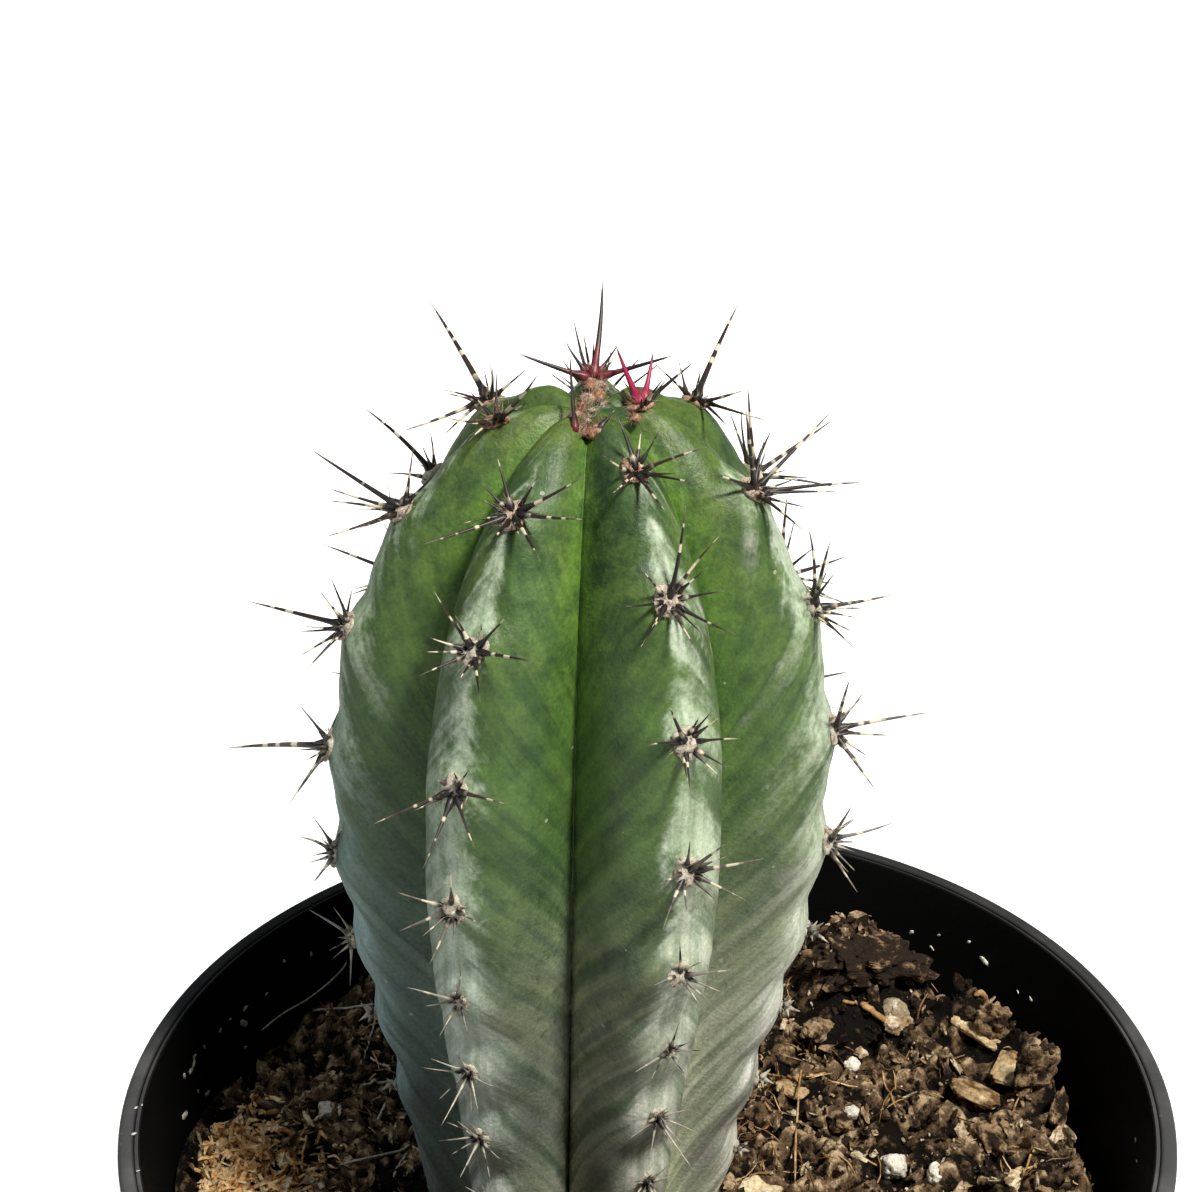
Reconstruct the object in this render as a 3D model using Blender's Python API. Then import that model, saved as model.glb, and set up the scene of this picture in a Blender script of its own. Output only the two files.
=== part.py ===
# Potted columnar cactus: a young seven-ribbed column with felted areoles and spines,
# standing in peaty soil with perlite and bark in a round plastic nursery pot.
# Metres, +Z up, front towards -Y, origin on the ground under the middle of the pot.

import math

import bmesh
import bpy
import numpy as np
from mathutils import Matrix, Vector

MM = 0.001

# Pot: outer rim, height, thin tapered wall and a rolled collar open underneath
RIM_RADIUS = 55.0 * MM
POT_HEIGHT = 90.0 * MM
LIP_WIDTH = 2.4 * MM
WALL = 1.0 * MM
BASE_RADIUS = 39.0 * MM
COLLAR_HEIGHT = 9.0 * MM
COLLAR_DRAFT = 0.5 * MM
COLLAR_TOP = 2.6 * MM
LIP_ROUNDING = 0.7 * MM
LIP_BEVEL = 0.35 * MM
FLOOR_UNDERSIDE = 1.4 * MM
FLOOR_TOP = 2.6 * MM
FLOOR_CHAMFER = 1.3 * MM
FOOT_WIDTH = 3.4 * MM
FOOT_BEVEL = 0.55 * MM
POT_SIDES = 56
DRAIN_HOLES = 5
DRAIN_RADIUS = 3.5 * MM
DRAIN_CIRCLE = 26.0 * MM
DRAIN_SIDES = 12

# Clearance between pieces that touch, and round the ribbed stem in its hole
GAP = 0.4 * MM
HOLE_SWELL = 0.6 * MM

# Stem: seven ribs round an axis that leans a little to the right
RIBS = 7
STEM_X = -7.4 * MM
STEM_Y = 0.0
LEAN_X = 0.029
LEAN_Y = -0.008
FRONT_GROOVE_TURN = math.radians(-3.3)
SHOULDER_HEIGHT = 134.0 * MM
CROWN_HEIGHT = 172.3 * MM
CROWN_WIDTH_POWER = 1.9
CROWN_HEIGHT_POWER = 2.15
# Crest radius against height, from the buried root crown up to the shoulder
CREST_OUTLINE = ((60, 11.2), (68, 13.0), (79, 15.2), (90, 17.2), (101, 19.4), (112, 21.9),
                 (123, 23.9), (134, 24.4))
ROOT_END = 59.0 * MM
ROOT_ROUNDING = 6.0 * MM
# Groove depth against the distance from the apex along a crest
GROOVE_OUTLINE = ((0, 1.8), (8, 3.0), (20, 6.4), (38, 10.2), (60, 10.6), (80, 8.2), (100, 5.4),
                  (122, 3.6))
GROOVE_POWER = 0.70
APEX_BLEND = 6.0 * MM
STEM_ROWS = 31
CROWN_CROWDING = 0.10
# Columns of half a rib, from the crest (0) to the groove (1), closer at the sharp groove
HALF_RIB = (0.0, 0.32, 0.62, 0.86, 1.0)

# Areoles: distance of the first from the apex, spacing along the crest, and each rib's stagger
FIRST_AREOLE = 7.0 * MM
AREOLE_SPACING = ((-1, 9.5), (0.5, 11.7), (2, 13.2), (3.5, 12.6), (5, 10.0), (9, 9.8))
# Ribs in order from the left back one, turning by the front to the back
RIB_STAGGER = (0.60, 0.19, 0.76, 0.38, -0.03, 0.54, 0.05)
LOWEST_AREOLE = 86.0 * MM
MOST_AREOLES = 12
# Swelling of the crest just below an areole, and the notch above it: offset and reach along the crest
TUBERCLE = 0.9 * MM
SWELLING = (1.0 * MM, 3.2 * MM)
NOTCH = (-3.4 * MM, 1.8 * MM)
NOTCH_SHARE = 0.55
TUBERCLE_WIDTH = 0.55
TUBERCLE_FADE = 14.0 * MM
PAD_HALF_SIZE = (1.35 * MM, 1.6 * MM, 0.75 * MM)

# Spines: length near the crown and on the old stem, and root radius
CENTRAL_LENGTH = ((0, 8.5), (12, 11.0), (60, 9.5), (100, 5.5))
RADIAL_LENGTH = ((0, 3.5), (12, 6.2), (60, 5.0), (100, 3.6))
CENTRAL_ROOT = 0.42 * MM
RADIAL_ROOT = 0.32 * MM
SPINE_SUNK = 1.0 * MM
ROOT_LIFT = 0.15 * MM
# The two central spines, one up the rib and one out and a little down:
# turn round the areole from its upper side, rise from the skin in radians, and share of the length
CENTRALS = ((0.15, 0.68, 0.82), (2.90, 1.20, 0.96))
CENTRAL_SPREAD = 0.25
RADIALS = 4
RADIAL_RISE = (0.38, 0.68)
RADIAL_SPREAD = 0.7
# How far a spine strays from its place: centrals' turn and rise, radials' turn, and both lengths
CENTRAL_STRAY = (1.0, 0.25, 0.24)
RADIAL_STRAY = (0.5, 0.40)
YOUNG_PAD = (0.75, 20.0 * MM)

# Soil surface
SOIL_LEVEL = 78.0 * MM
SOIL_RINGS = 9
RING_CROWDING = 0.9
SOIL_CHAMFER = 1.4 * MM
SOIL_SIDE_ROWS = (25.0 * MM, 50.0 * MM)
# Clods: x, y, height and spread, in millimetres
CLODS = ((25, 36, 8.0, 8), (38, 27, 6.0, 5), (44, 18, 5.0, 5), (33, 14, 1.5, 7), (24, 5, -1.0, 7),
         (-38, 22, -1.5, 10), (-43, 8, 2.5, 8), (-30, 30, 1.0, 8), (-25, -30, 2.0, 9),
         (8, -40, 2.5, 9), (36, -18, 2.0, 8), (12, 40, 2.0, 9), (-12, 42, -1.0, 8), (20, -22, -1.5, 8))
# Low waves over the whole surface: height, and turns per millimetre along x and y
WAVES = ((0.5, 0.55, 0.48), (0.35, 0.83, -0.71))
# On the right the soil has shrunk from the wall: depth, start and width of the fall, in millimetres
SHRINKAGE = (8.0, 46.5, 3.5)
# Round the stem the surface is level: radius and width of the change, in millimetres
LEVEL_ROUND_STEM = (13.0, 9.0)

# Perlite grains and bark chips: x, y and size in millimetres
PERLITE = ((23.6, 22.0, 2.2), (22.7, 13.0, 2.4), (26.8, 4.6, 3.6), (31.2, 2.2, 3.0), (12.5, -3.0, 4.2),
           (29.0, 28.5, 3.6), (-34.6, 13.5, 3.4), (-20.0, -33.0, 3.0), (15.0, -37.0, 2.4),
           (34.0, -25.0, 3.3), (-38.0, -12.0, 2.2))
# Bark: x, y, length, width, turn and tilt in degrees
BARK = ((36.5, 13.5, 7.5, 3.4, -25, 12), (40.5, 17.0, 6.5, 3.8, 60, -16), (37.5, 22.5, 8.0, 2.4, -35, 14),
        (39.0, -3.5, 6.5, 3.2, 20, 18), (-8.0, -38.0, 7.5, 4.2, 75, 8), (-33.0, -24.0, 7.0, 3.4, -50, -12),
        (-14.0, 36.0, 6.5, 3.6, 10, 10))
# A grain's half sizes as shares of its size, its roughness and tilt, then a chip's shape
GRAIN_SHARES = (0.50, 0.42, 0.40)
GRAIN_ROUGHNESS = (0.84, 0.22)
GRAIN_TILT = 20.0
CHIP_CORNERS = 7
CHIP_HALF_THICKNESS = 0.7 * MM
CHIP_TOP = 0.94
CHIP_ROUGHNESS = (0.8, 0.2)
# Height of a piece's middle over the soil, as a share of its half height
LIE = 0.15


# Small helpers

def smooth_curve(stations, x):
    # Cubic through the stations, level at both ends
    xs = np.array([a for a, _ in stations], float)
    ys = np.array([b for _, b in stations], float)
    slopes = np.zeros(len(xs))
    slopes[1:-1] = (ys[2:] - ys[:-2]) / (xs[2:] - xs[:-2])
    x = np.clip(x, xs[0], xs[-1])
    i = np.clip(np.searchsorted(xs, x, side="right") - 1, 0, len(xs) - 2)
    step = xs[i + 1] - xs[i]
    t = (x - xs[i]) / step
    start = (1 + 2 * t) * (1 - t) ** 2 * ys[i] + t * (1 - t) ** 2 * step * slopes[i]
    end = t * t * (3 - 2 * t) * ys[i + 1] + t * t * (t - 1) * step * slopes[i + 1]
    return start + end


def ease(x):
    t = np.clip(x, 0.0, 1.0)
    return t * t * (3 - 2 * t)


def scatter(a, b):
    # A fixed number from 0 to 1 for each pair of counts
    return math.modf(abs(math.sin(a * 12.9898 + b * 78.233) * 43758.5453))[0]


def new_object(name, vertices, faces, material=None):
    mesh = bpy.data.meshes.new(name)
    mesh.from_pydata([tuple(v) for v in vertices], [], faces)
    shell = bmesh.new()
    shell.from_mesh(mesh)
    bmesh.ops.recalc_face_normals(shell, faces=shell.faces)
    shell.to_mesh(mesh)
    shell.free()
    piece = bpy.data.objects.new(name, mesh)
    bpy.context.scene.collection.objects.link(piece)
    if material:
        mesh.materials.append(material)
    return piece


def plain_material(name, colour, roughness):
    material = bpy.data.materials.new(name)
    material.use_nodes = True
    shader = material.node_tree.nodes["Principled BSDF"]
    shader.inputs["Base Color"].default_value = (*colour, 1.0)
    shader.inputs["Roughness"].default_value = roughness
    shader.inputs["Metallic"].default_value = 0.0
    return material


def apply_boolean(piece, tools, operation, solver):
    # One Boolean against a collection of tools, applied, after which the tools are removed
    group = bpy.data.collections.new(piece.name + "_tools")
    bpy.context.scene.collection.children.link(group)
    for tool in tools:
        group.objects.link(tool)
        bpy.context.scene.collection.objects.unlink(tool)
    modifier = piece.modifiers.new("join", "BOOLEAN")
    modifier.operation = operation
    modifier.operand_type = "COLLECTION"
    modifier.collection = group
    modifier.solver = solver
    graph = bpy.context.evaluated_depsgraph_get()
    result = bpy.data.meshes.new_from_object(piece.evaluated_get(graph))
    piece.modifiers.remove(modifier)
    result.name = piece.name
    piece.data = result
    for tool in tools:
        bpy.data.objects.remove(tool)
    bpy.data.collections.remove(group)


def ring_faces(rows, columns):
    # Quads between closed rings of points, row after row
    faces = []
    for row in range(rows - 1):
        for column in range(columns):
            beside = (column + 1) % columns
            a = row * columns
            b = a + columns
            faces.append((a + column, a + beside, b + beside, b + column))
    return faces


# Pot

def inner_wall(height):
    return BASE_RADIUS - WALL + (RIM_RADIUS - LIP_WIDTH - BASE_RADIUS + WALL) * height / POT_HEIGHT


def pot_profile():
    # Half section from the middle of the underside, up the outside and down to the floor
    outer_top = POT_HEIGHT - COLLAR_TOP
    collar_foot = POT_HEIGHT - COLLAR_HEIGHT
    skirt = RIM_RADIUS - COLLAR_DRAFT
    foot_inside = BASE_RADIUS - FOOT_WIDTH
    round_in = LIP_ROUNDING * (1 - math.sqrt(0.5))
    return [
        (0.0, FLOOR_UNDERSIDE),
        (foot_inside - FOOT_BEVEL, FLOOR_UNDERSIDE),
        (foot_inside, 0.0),
        (BASE_RADIUS - FOOT_BEVEL, 0.0),
        (inner_wall(FOOT_BEVEL) + WALL, FOOT_BEVEL),
        (inner_wall(outer_top) + WALL, outer_top),
        (RIM_RADIUS - WALL, outer_top),
        (skirt - WALL, collar_foot),
        (skirt, collar_foot),
        (RIM_RADIUS, POT_HEIGHT - LIP_ROUNDING),
        (RIM_RADIUS - round_in, POT_HEIGHT - round_in),
        (RIM_RADIUS - LIP_ROUNDING, POT_HEIGHT),
        (RIM_RADIUS - LIP_WIDTH + LIP_BEVEL, POT_HEIGHT),
        (RIM_RADIUS - LIP_WIDTH, POT_HEIGHT - LIP_BEVEL),
        (inner_wall(FLOOR_TOP + FLOOR_CHAMFER), FLOOR_TOP + FLOOR_CHAMFER),
        (inner_wall(FLOOR_TOP) - FLOOR_CHAMFER, FLOOR_TOP),
        (0.0, FLOOR_TOP),
    ]


def turn_profile(profile, sides):
    # Points on the axis become single vertices at the ends of the turned surface
    angles = np.arange(sides) * 2 * math.pi / sides
    vertices = []
    for radius, height in profile[1:-1]:
        vertices += [(radius * math.cos(a), radius * math.sin(a), height) for a in angles]
    faces = ring_faces(len(profile) - 2, sides)
    first = len(vertices)
    last = first + 1
    vertices += [(0.0, 0.0, profile[0][1]), (0.0, 0.0, profile[-1][1])]
    top_ring = (len(profile) - 3) * sides
    for side in range(sides):
        beside = (side + 1) % sides
        faces.append((first, beside, side))
        faces.append((last, top_ring + side, top_ring + beside))
    return vertices, faces


def make_pot():
    plastic = plain_material("pot_plastic", (0.022, 0.023, 0.024), 0.42)
    vertices, faces = turn_profile(pot_profile(), POT_SIDES)
    pot = new_object("pot", vertices, faces, plastic)
    drills = []
    for hole in range(DRAIN_HOLES):
        turn = (hole + 0.5) * 2 * math.pi / DRAIN_HOLES
        shape = bmesh.new()
        middle = Vector((DRAIN_CIRCLE * math.cos(turn), DRAIN_CIRCLE * math.sin(turn), FLOOR_TOP / 2))
        bmesh.ops.create_cone(shape, cap_ends=True, segments=DRAIN_SIDES, radius1=DRAIN_RADIUS,
                              radius2=DRAIN_RADIUS, depth=4 * FLOOR_TOP, matrix=Matrix.Translation(middle))
        mesh = bpy.data.meshes.new("drill")
        shape.to_mesh(mesh)
        shape.free()
        drill = bpy.data.objects.new("drill", mesh)
        bpy.context.scene.collection.objects.link(drill)
        drills.append(drill)
    apply_boolean(pot, drills, "DIFFERENCE", "EXACT")
    return pot


# Stem

def crest_line():
    # Dense crest outline from the apex to the root end: arc length, radius, height and normal
    lift = np.cos(np.linspace(0.0, math.pi / 2, 240))
    crown_z = SHOULDER_HEIGHT + (CROWN_HEIGHT - SHOULDER_HEIGHT) * lift
    widest = CREST_OUTLINE[-1][1] * MM
    crown_r = widest * (1 - lift ** CROWN_HEIGHT_POWER) ** (1 / CROWN_WIDTH_POWER)
    body_z = np.linspace(SHOULDER_HEIGHT, ROOT_END, 301)[1:]
    body_r = smooth_curve(CREST_OUTLINE, body_z / MM) * MM
    rounding = np.clip((body_z - ROOT_END) / ROOT_ROUNDING, 0.0, 1.0)
    body_r = body_r * np.sqrt(1 - (1 - rounding) ** 2)
    radius = np.concatenate([crown_r, body_r])
    height = np.concatenate([crown_z, body_z])
    arc = np.concatenate([[0.0], np.cumsum(np.hypot(np.diff(radius), np.diff(height)))])
    along_r = np.gradient(radius, arc)
    along_z = np.gradient(height, arc)
    return arc, radius, height, -along_z, along_r


CREST = crest_line()
STEM_LENGTH = CREST[0][-1]


def crest_at(arc):
    # Radius, height and outward normal of a crest at a distance from the apex
    radius, height, normal_r, normal_z = (np.interp(arc, CREST[0], line) for line in CREST[1:])
    size = np.hypot(normal_r, normal_z)
    return radius, height, normal_r / size, normal_z / size


def areole_arc(count, rib):
    # Distance from the apex of an areole: the spacing added up from the rib's own start
    place = count + RIB_STAGGER[rib]
    steps = np.linspace(0.0, place, 60)
    spacing = smooth_curve(AREOLE_SPACING, steps) * MM
    return FIRST_AREOLE + float(np.sum((spacing[1:] + spacing[:-1]) * np.diff(steps)) / 2)


def rib_turn(rib):
    # Azimuth of a rib's crest, from the front and growing to the right
    return FRONT_GROOVE_TURN + (rib - 2.5) * 2 * math.pi / RIBS


def areoles():
    # Every areole above the soil: rib, count from the crown, and distance from the apex
    places = []
    for rib in range(RIBS):
        for count in range(MOST_AREOLES):
            arc = areole_arc(count, rib)
            if crest_at(arc)[1] > LOWEST_AREOLE:
                places.append((rib, count, arc))
    return places


def tubercles(rib, arc):
    # Swelling of a crest below each areole, and a notch just above it
    swelling = np.zeros_like(arc)
    for place_rib, _, place in areoles():
        if place_rib == rib:
            low = (arc - place - SWELLING[0]) / SWELLING[1]
            high = (arc - place - NOTCH[0]) / NOTCH[1]
            swelling += np.exp(-low ** 2) - NOTCH_SHARE * np.exp(-high ** 2)
    return TUBERCLE * swelling * ease(arc / TUBERCLE_FADE)


def lean(points):
    # Moves points from round the stem's own axis to where the leaning stem stands
    above = points[..., 2] - POT_HEIGHT
    moved = points.copy()
    moved[..., 0] += STEM_X + LEAN_X * above
    moved[..., 1] += STEM_Y + LEAN_Y * above
    return moved


def stem_surface(arc, rib, across, swell=0.0):
    # Point of the stem: distance from the apex, rib, and -1..1 from groove to groove over the crest
    radius, height, normal_r, normal_z = crest_at(arc)
    depth = smooth_curve(GROOVE_OUTLINE, arc / MM) * MM
    valley = 1 - np.cos(np.pi / 2 * np.abs(across)) ** GROOVE_POWER
    open_up = ease(arc / APEX_BLEND)
    sink = depth * (valley * open_up + 1 - open_up)
    sink = sink - tubercles(rib, arc) * np.clip(1 - (across / TUBERCLE_WIDTH) ** 2, 0.0, 1.0)
    radius = radius - normal_r * sink + swell
    height = height - normal_z * (sink - swell)
    turn = rib_turn(rib) + across * math.pi / RIBS
    points = np.stack([radius * np.sin(turn), -radius * np.cos(turn), height + 0 * radius], axis=-1)
    return lean(points)


def rib_columns():
    # Columns round the stem: rib and place across it, each groove shared by two ribs
    columns = []
    for rib in range(RIBS):
        columns += [(rib, -across) for across in reversed(HALF_RIB[1:])]
        columns += [(rib, across) for across in HALF_RIB[:-1]]
    return columns


def stem_rows():
    # Closer rows on the crown, even ones below
    t = np.linspace(0.0, 1.0, STEM_ROWS + 2)[1:-1]
    return STEM_LENGTH * (t - CROWN_CROWDING * np.sin(math.pi * t) * (1 - t))


def make_stem(skin):
    rows = stem_rows()
    columns = rib_columns()
    grid = np.stack([stem_surface(rows, rib, across) for rib, across in columns], axis=1)
    apex = stem_surface(np.array([0.0]), 0, 0.0)
    root = stem_surface(np.array([STEM_LENGTH]), 0, 0.0)
    root[0, :2] = lean(np.array([[0.0, 0.0, ROOT_END]]))[0, :2]
    vertices = np.concatenate([grid.reshape(-1, 3), apex, root])
    faces = ring_faces(len(rows), len(columns))
    apex_index = grid.shape[0] * grid.shape[1]
    root_index = apex_index + 1
    last_row = (len(rows) - 1) * len(columns)
    for column in range(len(columns)):
        beside = (column + 1) % len(columns)
        faces.append((apex_index, beside, column))
        faces.append((root_index, last_row + column, last_row + beside))
    return new_object("cactus", vertices, faces, skin)


def areole_frame(rib, arc):
    # Place of an areole with its sideways, upward and outward directions
    here = Vector(stem_surface(np.array([arc]), rib, 0.0)[0])
    above = Vector(stem_surface(np.array([arc - 1.0 * MM]), rib, 0.0)[0])
    turn = rib_turn(rib)
    sideways = Vector((math.cos(turn), math.sin(turn), 0.0))
    upward = (above - here).normalized()
    outward = sideways.cross(upward).normalized()
    upward = outward.cross(sideways).normalized()
    return here, sideways, upward, outward


def spine_rosette(rib, count, arc):
    # Spines of an areole: turn round it, rise from the skin, length, root radius and place on the pad
    central = smooth_curve(CENTRAL_LENGTH, arc / MM) * MM
    radial = smooth_curve(RADIAL_LENGTH, arc / MM) * MM
    spines = []
    for place, (turn, rise, share) in enumerate(CENTRALS):
        turn += CENTRAL_STRAY[0] * (scatter(rib + 3, count + 7 * place) - 0.5)
        rise += CENTRAL_STRAY[1] * (scatter(count + 5, rib + place) - 0.5)
        long = central * share * (1 + CENTRAL_STRAY[2] * (scatter(rib * 3 + place, count) - 0.5))
        spines.append((turn, rise, long, CENTRAL_ROOT, CENTRAL_SPREAD))
    for place in range(RADIALS):
        turn = (place + 0.5) * 2 * math.pi / RADIALS
        turn += RADIAL_STRAY[0] * (scatter(rib, count * 5 + place) - 0.5)
        rise = RADIAL_RISE[0] + (RADIAL_RISE[1] - RADIAL_RISE[0]) * scatter(count, rib * 5 + place)
        long = radial * (1 + RADIAL_STRAY[1] * (scatter(rib * 7 + place, count * 3) - 0.5))
        spines.append((turn, rise, long, RADIAL_ROOT, RADIAL_SPREAD))
    return spines


def make_spine(root, direction, length, radius):
    # Three-sided needle with its root sunk in the pad
    side = direction.orthogonal().normalized()
    other = direction.cross(side)
    start = root - direction * SPINE_SUNK
    corners = []
    for corner in range(3):
        turn = corner * 2 * math.pi / 3
        corners.append(start + side * radius * math.cos(turn) + other * radius * math.sin(turn))
    corners.append(root + direction * length)
    return new_object("spine", corners, [(0, 2, 1), (0, 1, 3), (1, 2, 3), (2, 0, 3)])


def make_pad(here, sideways, upward, outward, scale):
    # Low dome of felt, half sunk in the crest
    shape = bmesh.new()
    half = [size * scale for size in PAD_HALF_SIZE]
    frame = Matrix((sideways * half[0], upward * half[1], outward * half[2])).transposed().to_4x4()
    bmesh.ops.create_uvsphere(shape, u_segments=6, v_segments=4, radius=1.0,
                              matrix=Matrix.Translation(here) @ frame)
    mesh = bpy.data.meshes.new("pad")
    shape.to_mesh(mesh)
    shape.free()
    pad = bpy.data.objects.new("pad", mesh)
    bpy.context.scene.collection.objects.link(pad)
    return pad


def make_cactus():
    skin = plain_material("cactus_skin", (0.17, 0.27, 0.13), 0.6)
    stem = make_stem(skin)
    growths = []
    for rib, count, arc in areoles():
        here, sideways, upward, outward = areole_frame(rib, arc)
        scale = YOUNG_PAD[0] + (1 - YOUNG_PAD[0]) * float(ease(arc / YOUNG_PAD[1]))
        growths.append(make_pad(here, sideways, upward, outward, scale))
        for turn, rise, long, thick, spread in spine_rosette(rib, count, arc):
            flat = sideways * math.sin(turn) + upward * math.cos(turn)
            direction = (flat * math.cos(rise) + outward * math.sin(rise)).normalized()
            root = here + flat * PAD_HALF_SIZE[0] * spread * scale + outward * ROOT_LIFT
            growths.append(make_spine(root, direction, long, thick))
    apply_boolean(stem, growths, "UNION", "MANIFOLD")
    return stem


# Soil

def soil_height(x, y):
    # Level, clods, low waves, and a fall towards the wall on the right
    height = np.zeros_like(x)
    for clod_x, clod_y, rise, spread in CLODS:
        away = ((x / MM - clod_x) ** 2 + (y / MM - clod_y) ** 2) / spread ** 2
        height = height + rise * np.exp(-away)
    for rise, along_x, along_y in WAVES:
        height = height + rise * np.sin(x / MM * along_x + y / MM * along_y + along_x)
    radius = np.hypot(x, y) / MM
    depth, start, width = SHRINKAGE
    right = ease(2.0 * x / MM / np.maximum(radius, 1.0) - 0.8)
    height = height - depth * right * ease((radius - start) / width)
    from_stem = np.hypot(x - STEM_X, y - STEM_Y) / MM
    level, change = LEVEL_ROUND_STEM
    height = height * ease((from_stem - level) / change)
    return SOIL_LEVEL + height * MM


def hole_rings():
    # Rings just outside the buried stem: one at the soil's surface, then one at each row below
    arcs = np.linspace(STEM_LENGTH / 2, STEM_LENGTH, 400)
    rows = stem_rows()
    rows = rows[crest_at(rows)[1] < SOIL_LEVEL - SOIL_CHAMFER]
    rim = []
    for rib, across in rib_columns():
        line = stem_surface(arcs, rib, across, HOLE_SWELL)
        arc = np.interp(-SOIL_LEVEL, -line[:, 2], arcs)
        rim.append(stem_surface(np.array([arc]), rib, across, HOLE_SWELL)[0])
    below = [stem_surface(rows, rib, across, HOLE_SWELL) for rib, across in rib_columns()]
    return [np.array(rim)] + list(np.stack(below, axis=1))


def wall_ring(turns, height, inset):
    # Ring of points inside the pot's wall, at one height or at a height for each point
    radius = inner_wall(height) - inset
    return np.stack([radius * np.sin(turns), -radius * np.cos(turns), 0 * turns + height], axis=-1)


def make_soil():
    peat = plain_material("peat", (0.085, 0.052, 0.032), 0.95)
    columns = rib_columns()
    hole = hole_rings()
    turns = np.array([rib_turn(rib) + across * math.pi / RIBS for rib, across in columns])
    floor = FLOOR_TOP + GAP
    rings = [wall_ring(turns, floor, GAP + SOIL_CHAMFER)]
    for height in (floor + SOIL_CHAMFER,) + SOIL_SIDE_ROWS:
        rings.append(wall_ring(turns, height, GAP))
    wall = wall_ring(turns, SOIL_LEVEL, GAP)
    edge = wall_ring(turns, soil_height(wall[:, 0], wall[:, 1]), GAP)
    rings.append(edge)
    for ring in range(1, SOIL_RINGS + 1):
        inward = (ring / SOIL_RINGS) ** RING_CROWDING
        points = wall * (1 - inward) + hole[0] * inward
        points[:, 2] = soil_height(points[:, 0], points[:, 1])
        rings.append(points)
    rings += hole[1:]
    vertices = list(np.concatenate(rings))
    faces = ring_faces(len(rings), len(columns))
    under = len(vertices)
    inside = under + 1
    middle = hole[-1].mean(axis=0)
    vertices += [(0.0, 0.0, floor), (middle[0], middle[1], ROOT_END - HOLE_SWELL)]
    last = (len(rings) - 1) * len(columns)
    for column in range(len(columns)):
        beside = (column + 1) % len(columns)
        faces.append((under, beside, column))
        faces.append((inside, last + column, last + beside))
    return new_object("soil", vertices, faces, peat)


# Grains and chips that lie in the soil

def grain_shape(half, seed):
    # Rounded stone of 80 faces with a bumpy outline
    shape = bmesh.new()
    bmesh.ops.create_icosphere(shape, subdivisions=2, radius=1.0)
    points = []
    for index, vertex in enumerate(shape.verts):
        bump = GRAIN_ROUGHNESS[0] + GRAIN_ROUGHNESS[1] * scatter(index + 1, seed)
        points.append(Vector([vertex.co[axis] * bump * half[axis] for axis in range(3)]))
    faces = [tuple(corner.index for corner in face.verts) for face in shape.faces]
    shape.free()
    return points, faces


def chip_shape(half, seed):
    # Irregular slab with seven corners, its upper face a little smaller
    least, spare = CHIP_ROUGHNESS
    points = []
    for level in (-1, 1):
        for corner in range(CHIP_CORNERS):
            turn = corner * 2 * math.pi / CHIP_CORNERS
            reach = (least + spare * scatter(corner + 2, seed)) * (CHIP_TOP if level > 0 else 1.0)
            thick = level * (least + spare * scatter(corner, seed + level))
            points.append(Vector((half[0] * reach * math.cos(turn), half[1] * reach * math.sin(turn),
                                  half[2] * thick)))
    points += [Vector((0.0, 0.0, -half[2])), Vector((0.0, 0.0, half[2]))]
    faces = []
    for corner in range(CHIP_CORNERS):
        beside = (corner + 1) % CHIP_CORNERS
        faces.append((corner, beside, CHIP_CORNERS + beside, CHIP_CORNERS + corner))
        faces.append((beside, corner, 2 * CHIP_CORNERS))
        faces.append((CHIP_CORNERS + corner, CHIP_CORNERS + beside, 2 * CHIP_CORNERS + 1))
    return points, faces


def place_in_soil(name, shape, half, seed, x, y, turn, tilt, material):
    # Makes the piece in its place, and returns a slightly larger copy that cuts its bed in the soil
    height = float(soil_height(np.array(x * MM), np.array(y * MM)))
    place = Matrix.Translation((x * MM, y * MM, height + LIE * half[2]))
    place = place @ Matrix.Rotation(math.radians(turn), 4, "Z") @ Matrix.Rotation(math.radians(tilt), 4, "X")
    points, faces = shape(half, seed)
    new_object(name, [place @ point for point in points], faces, material)
    points, faces = shape([size + GAP for size in half], seed)
    return new_object("bed", [place @ point for point in points], faces)


def make_grains(soil):
    white = plain_material("perlite", (0.72, 0.69, 0.62), 0.85)
    brown = plain_material("bark", (0.34, 0.23, 0.13), 0.85)
    beds = []
    for number, (x, y, size) in enumerate(PERLITE, start=1):
        half = [size * share * MM for share in GRAIN_SHARES]
        turn = 360 * scatter(number, 4)
        name = f"perlite_{number:02d}"
        beds.append(place_in_soil(name, grain_shape, half, number, x, y, turn, GRAIN_TILT, white))
    for number, (x, y, length, width, turn, tilt) in enumerate(BARK, start=1):
        half = (length * MM / 2, width * MM / 2, CHIP_HALF_THICKNESS)
        name = f"bark_{number:02d}"
        beds.append(place_in_soil(name, chip_shape, half, number, x, y, turn, tilt, brown))
    apply_boolean(soil, beds, "DIFFERENCE", "MANIFOLD")


def main():
    for old in list(bpy.data.objects):
        bpy.data.objects.remove(old)
    make_pot()
    make_cactus()
    make_grains(make_soil())


main()
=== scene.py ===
# Looks of a potted columnar cactus: ribbed stem with bloom, felted areoles and banded spines,
# crumbly soil with perlite, bark and dry roots, and a round black nursery pot.
# Shapes are worked out in millimetres and turned to metres in newPiece. Front is -Y, up is +Z.
import math

import bpy
import numpy as np
from mathutils import Matrix, Vector


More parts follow.
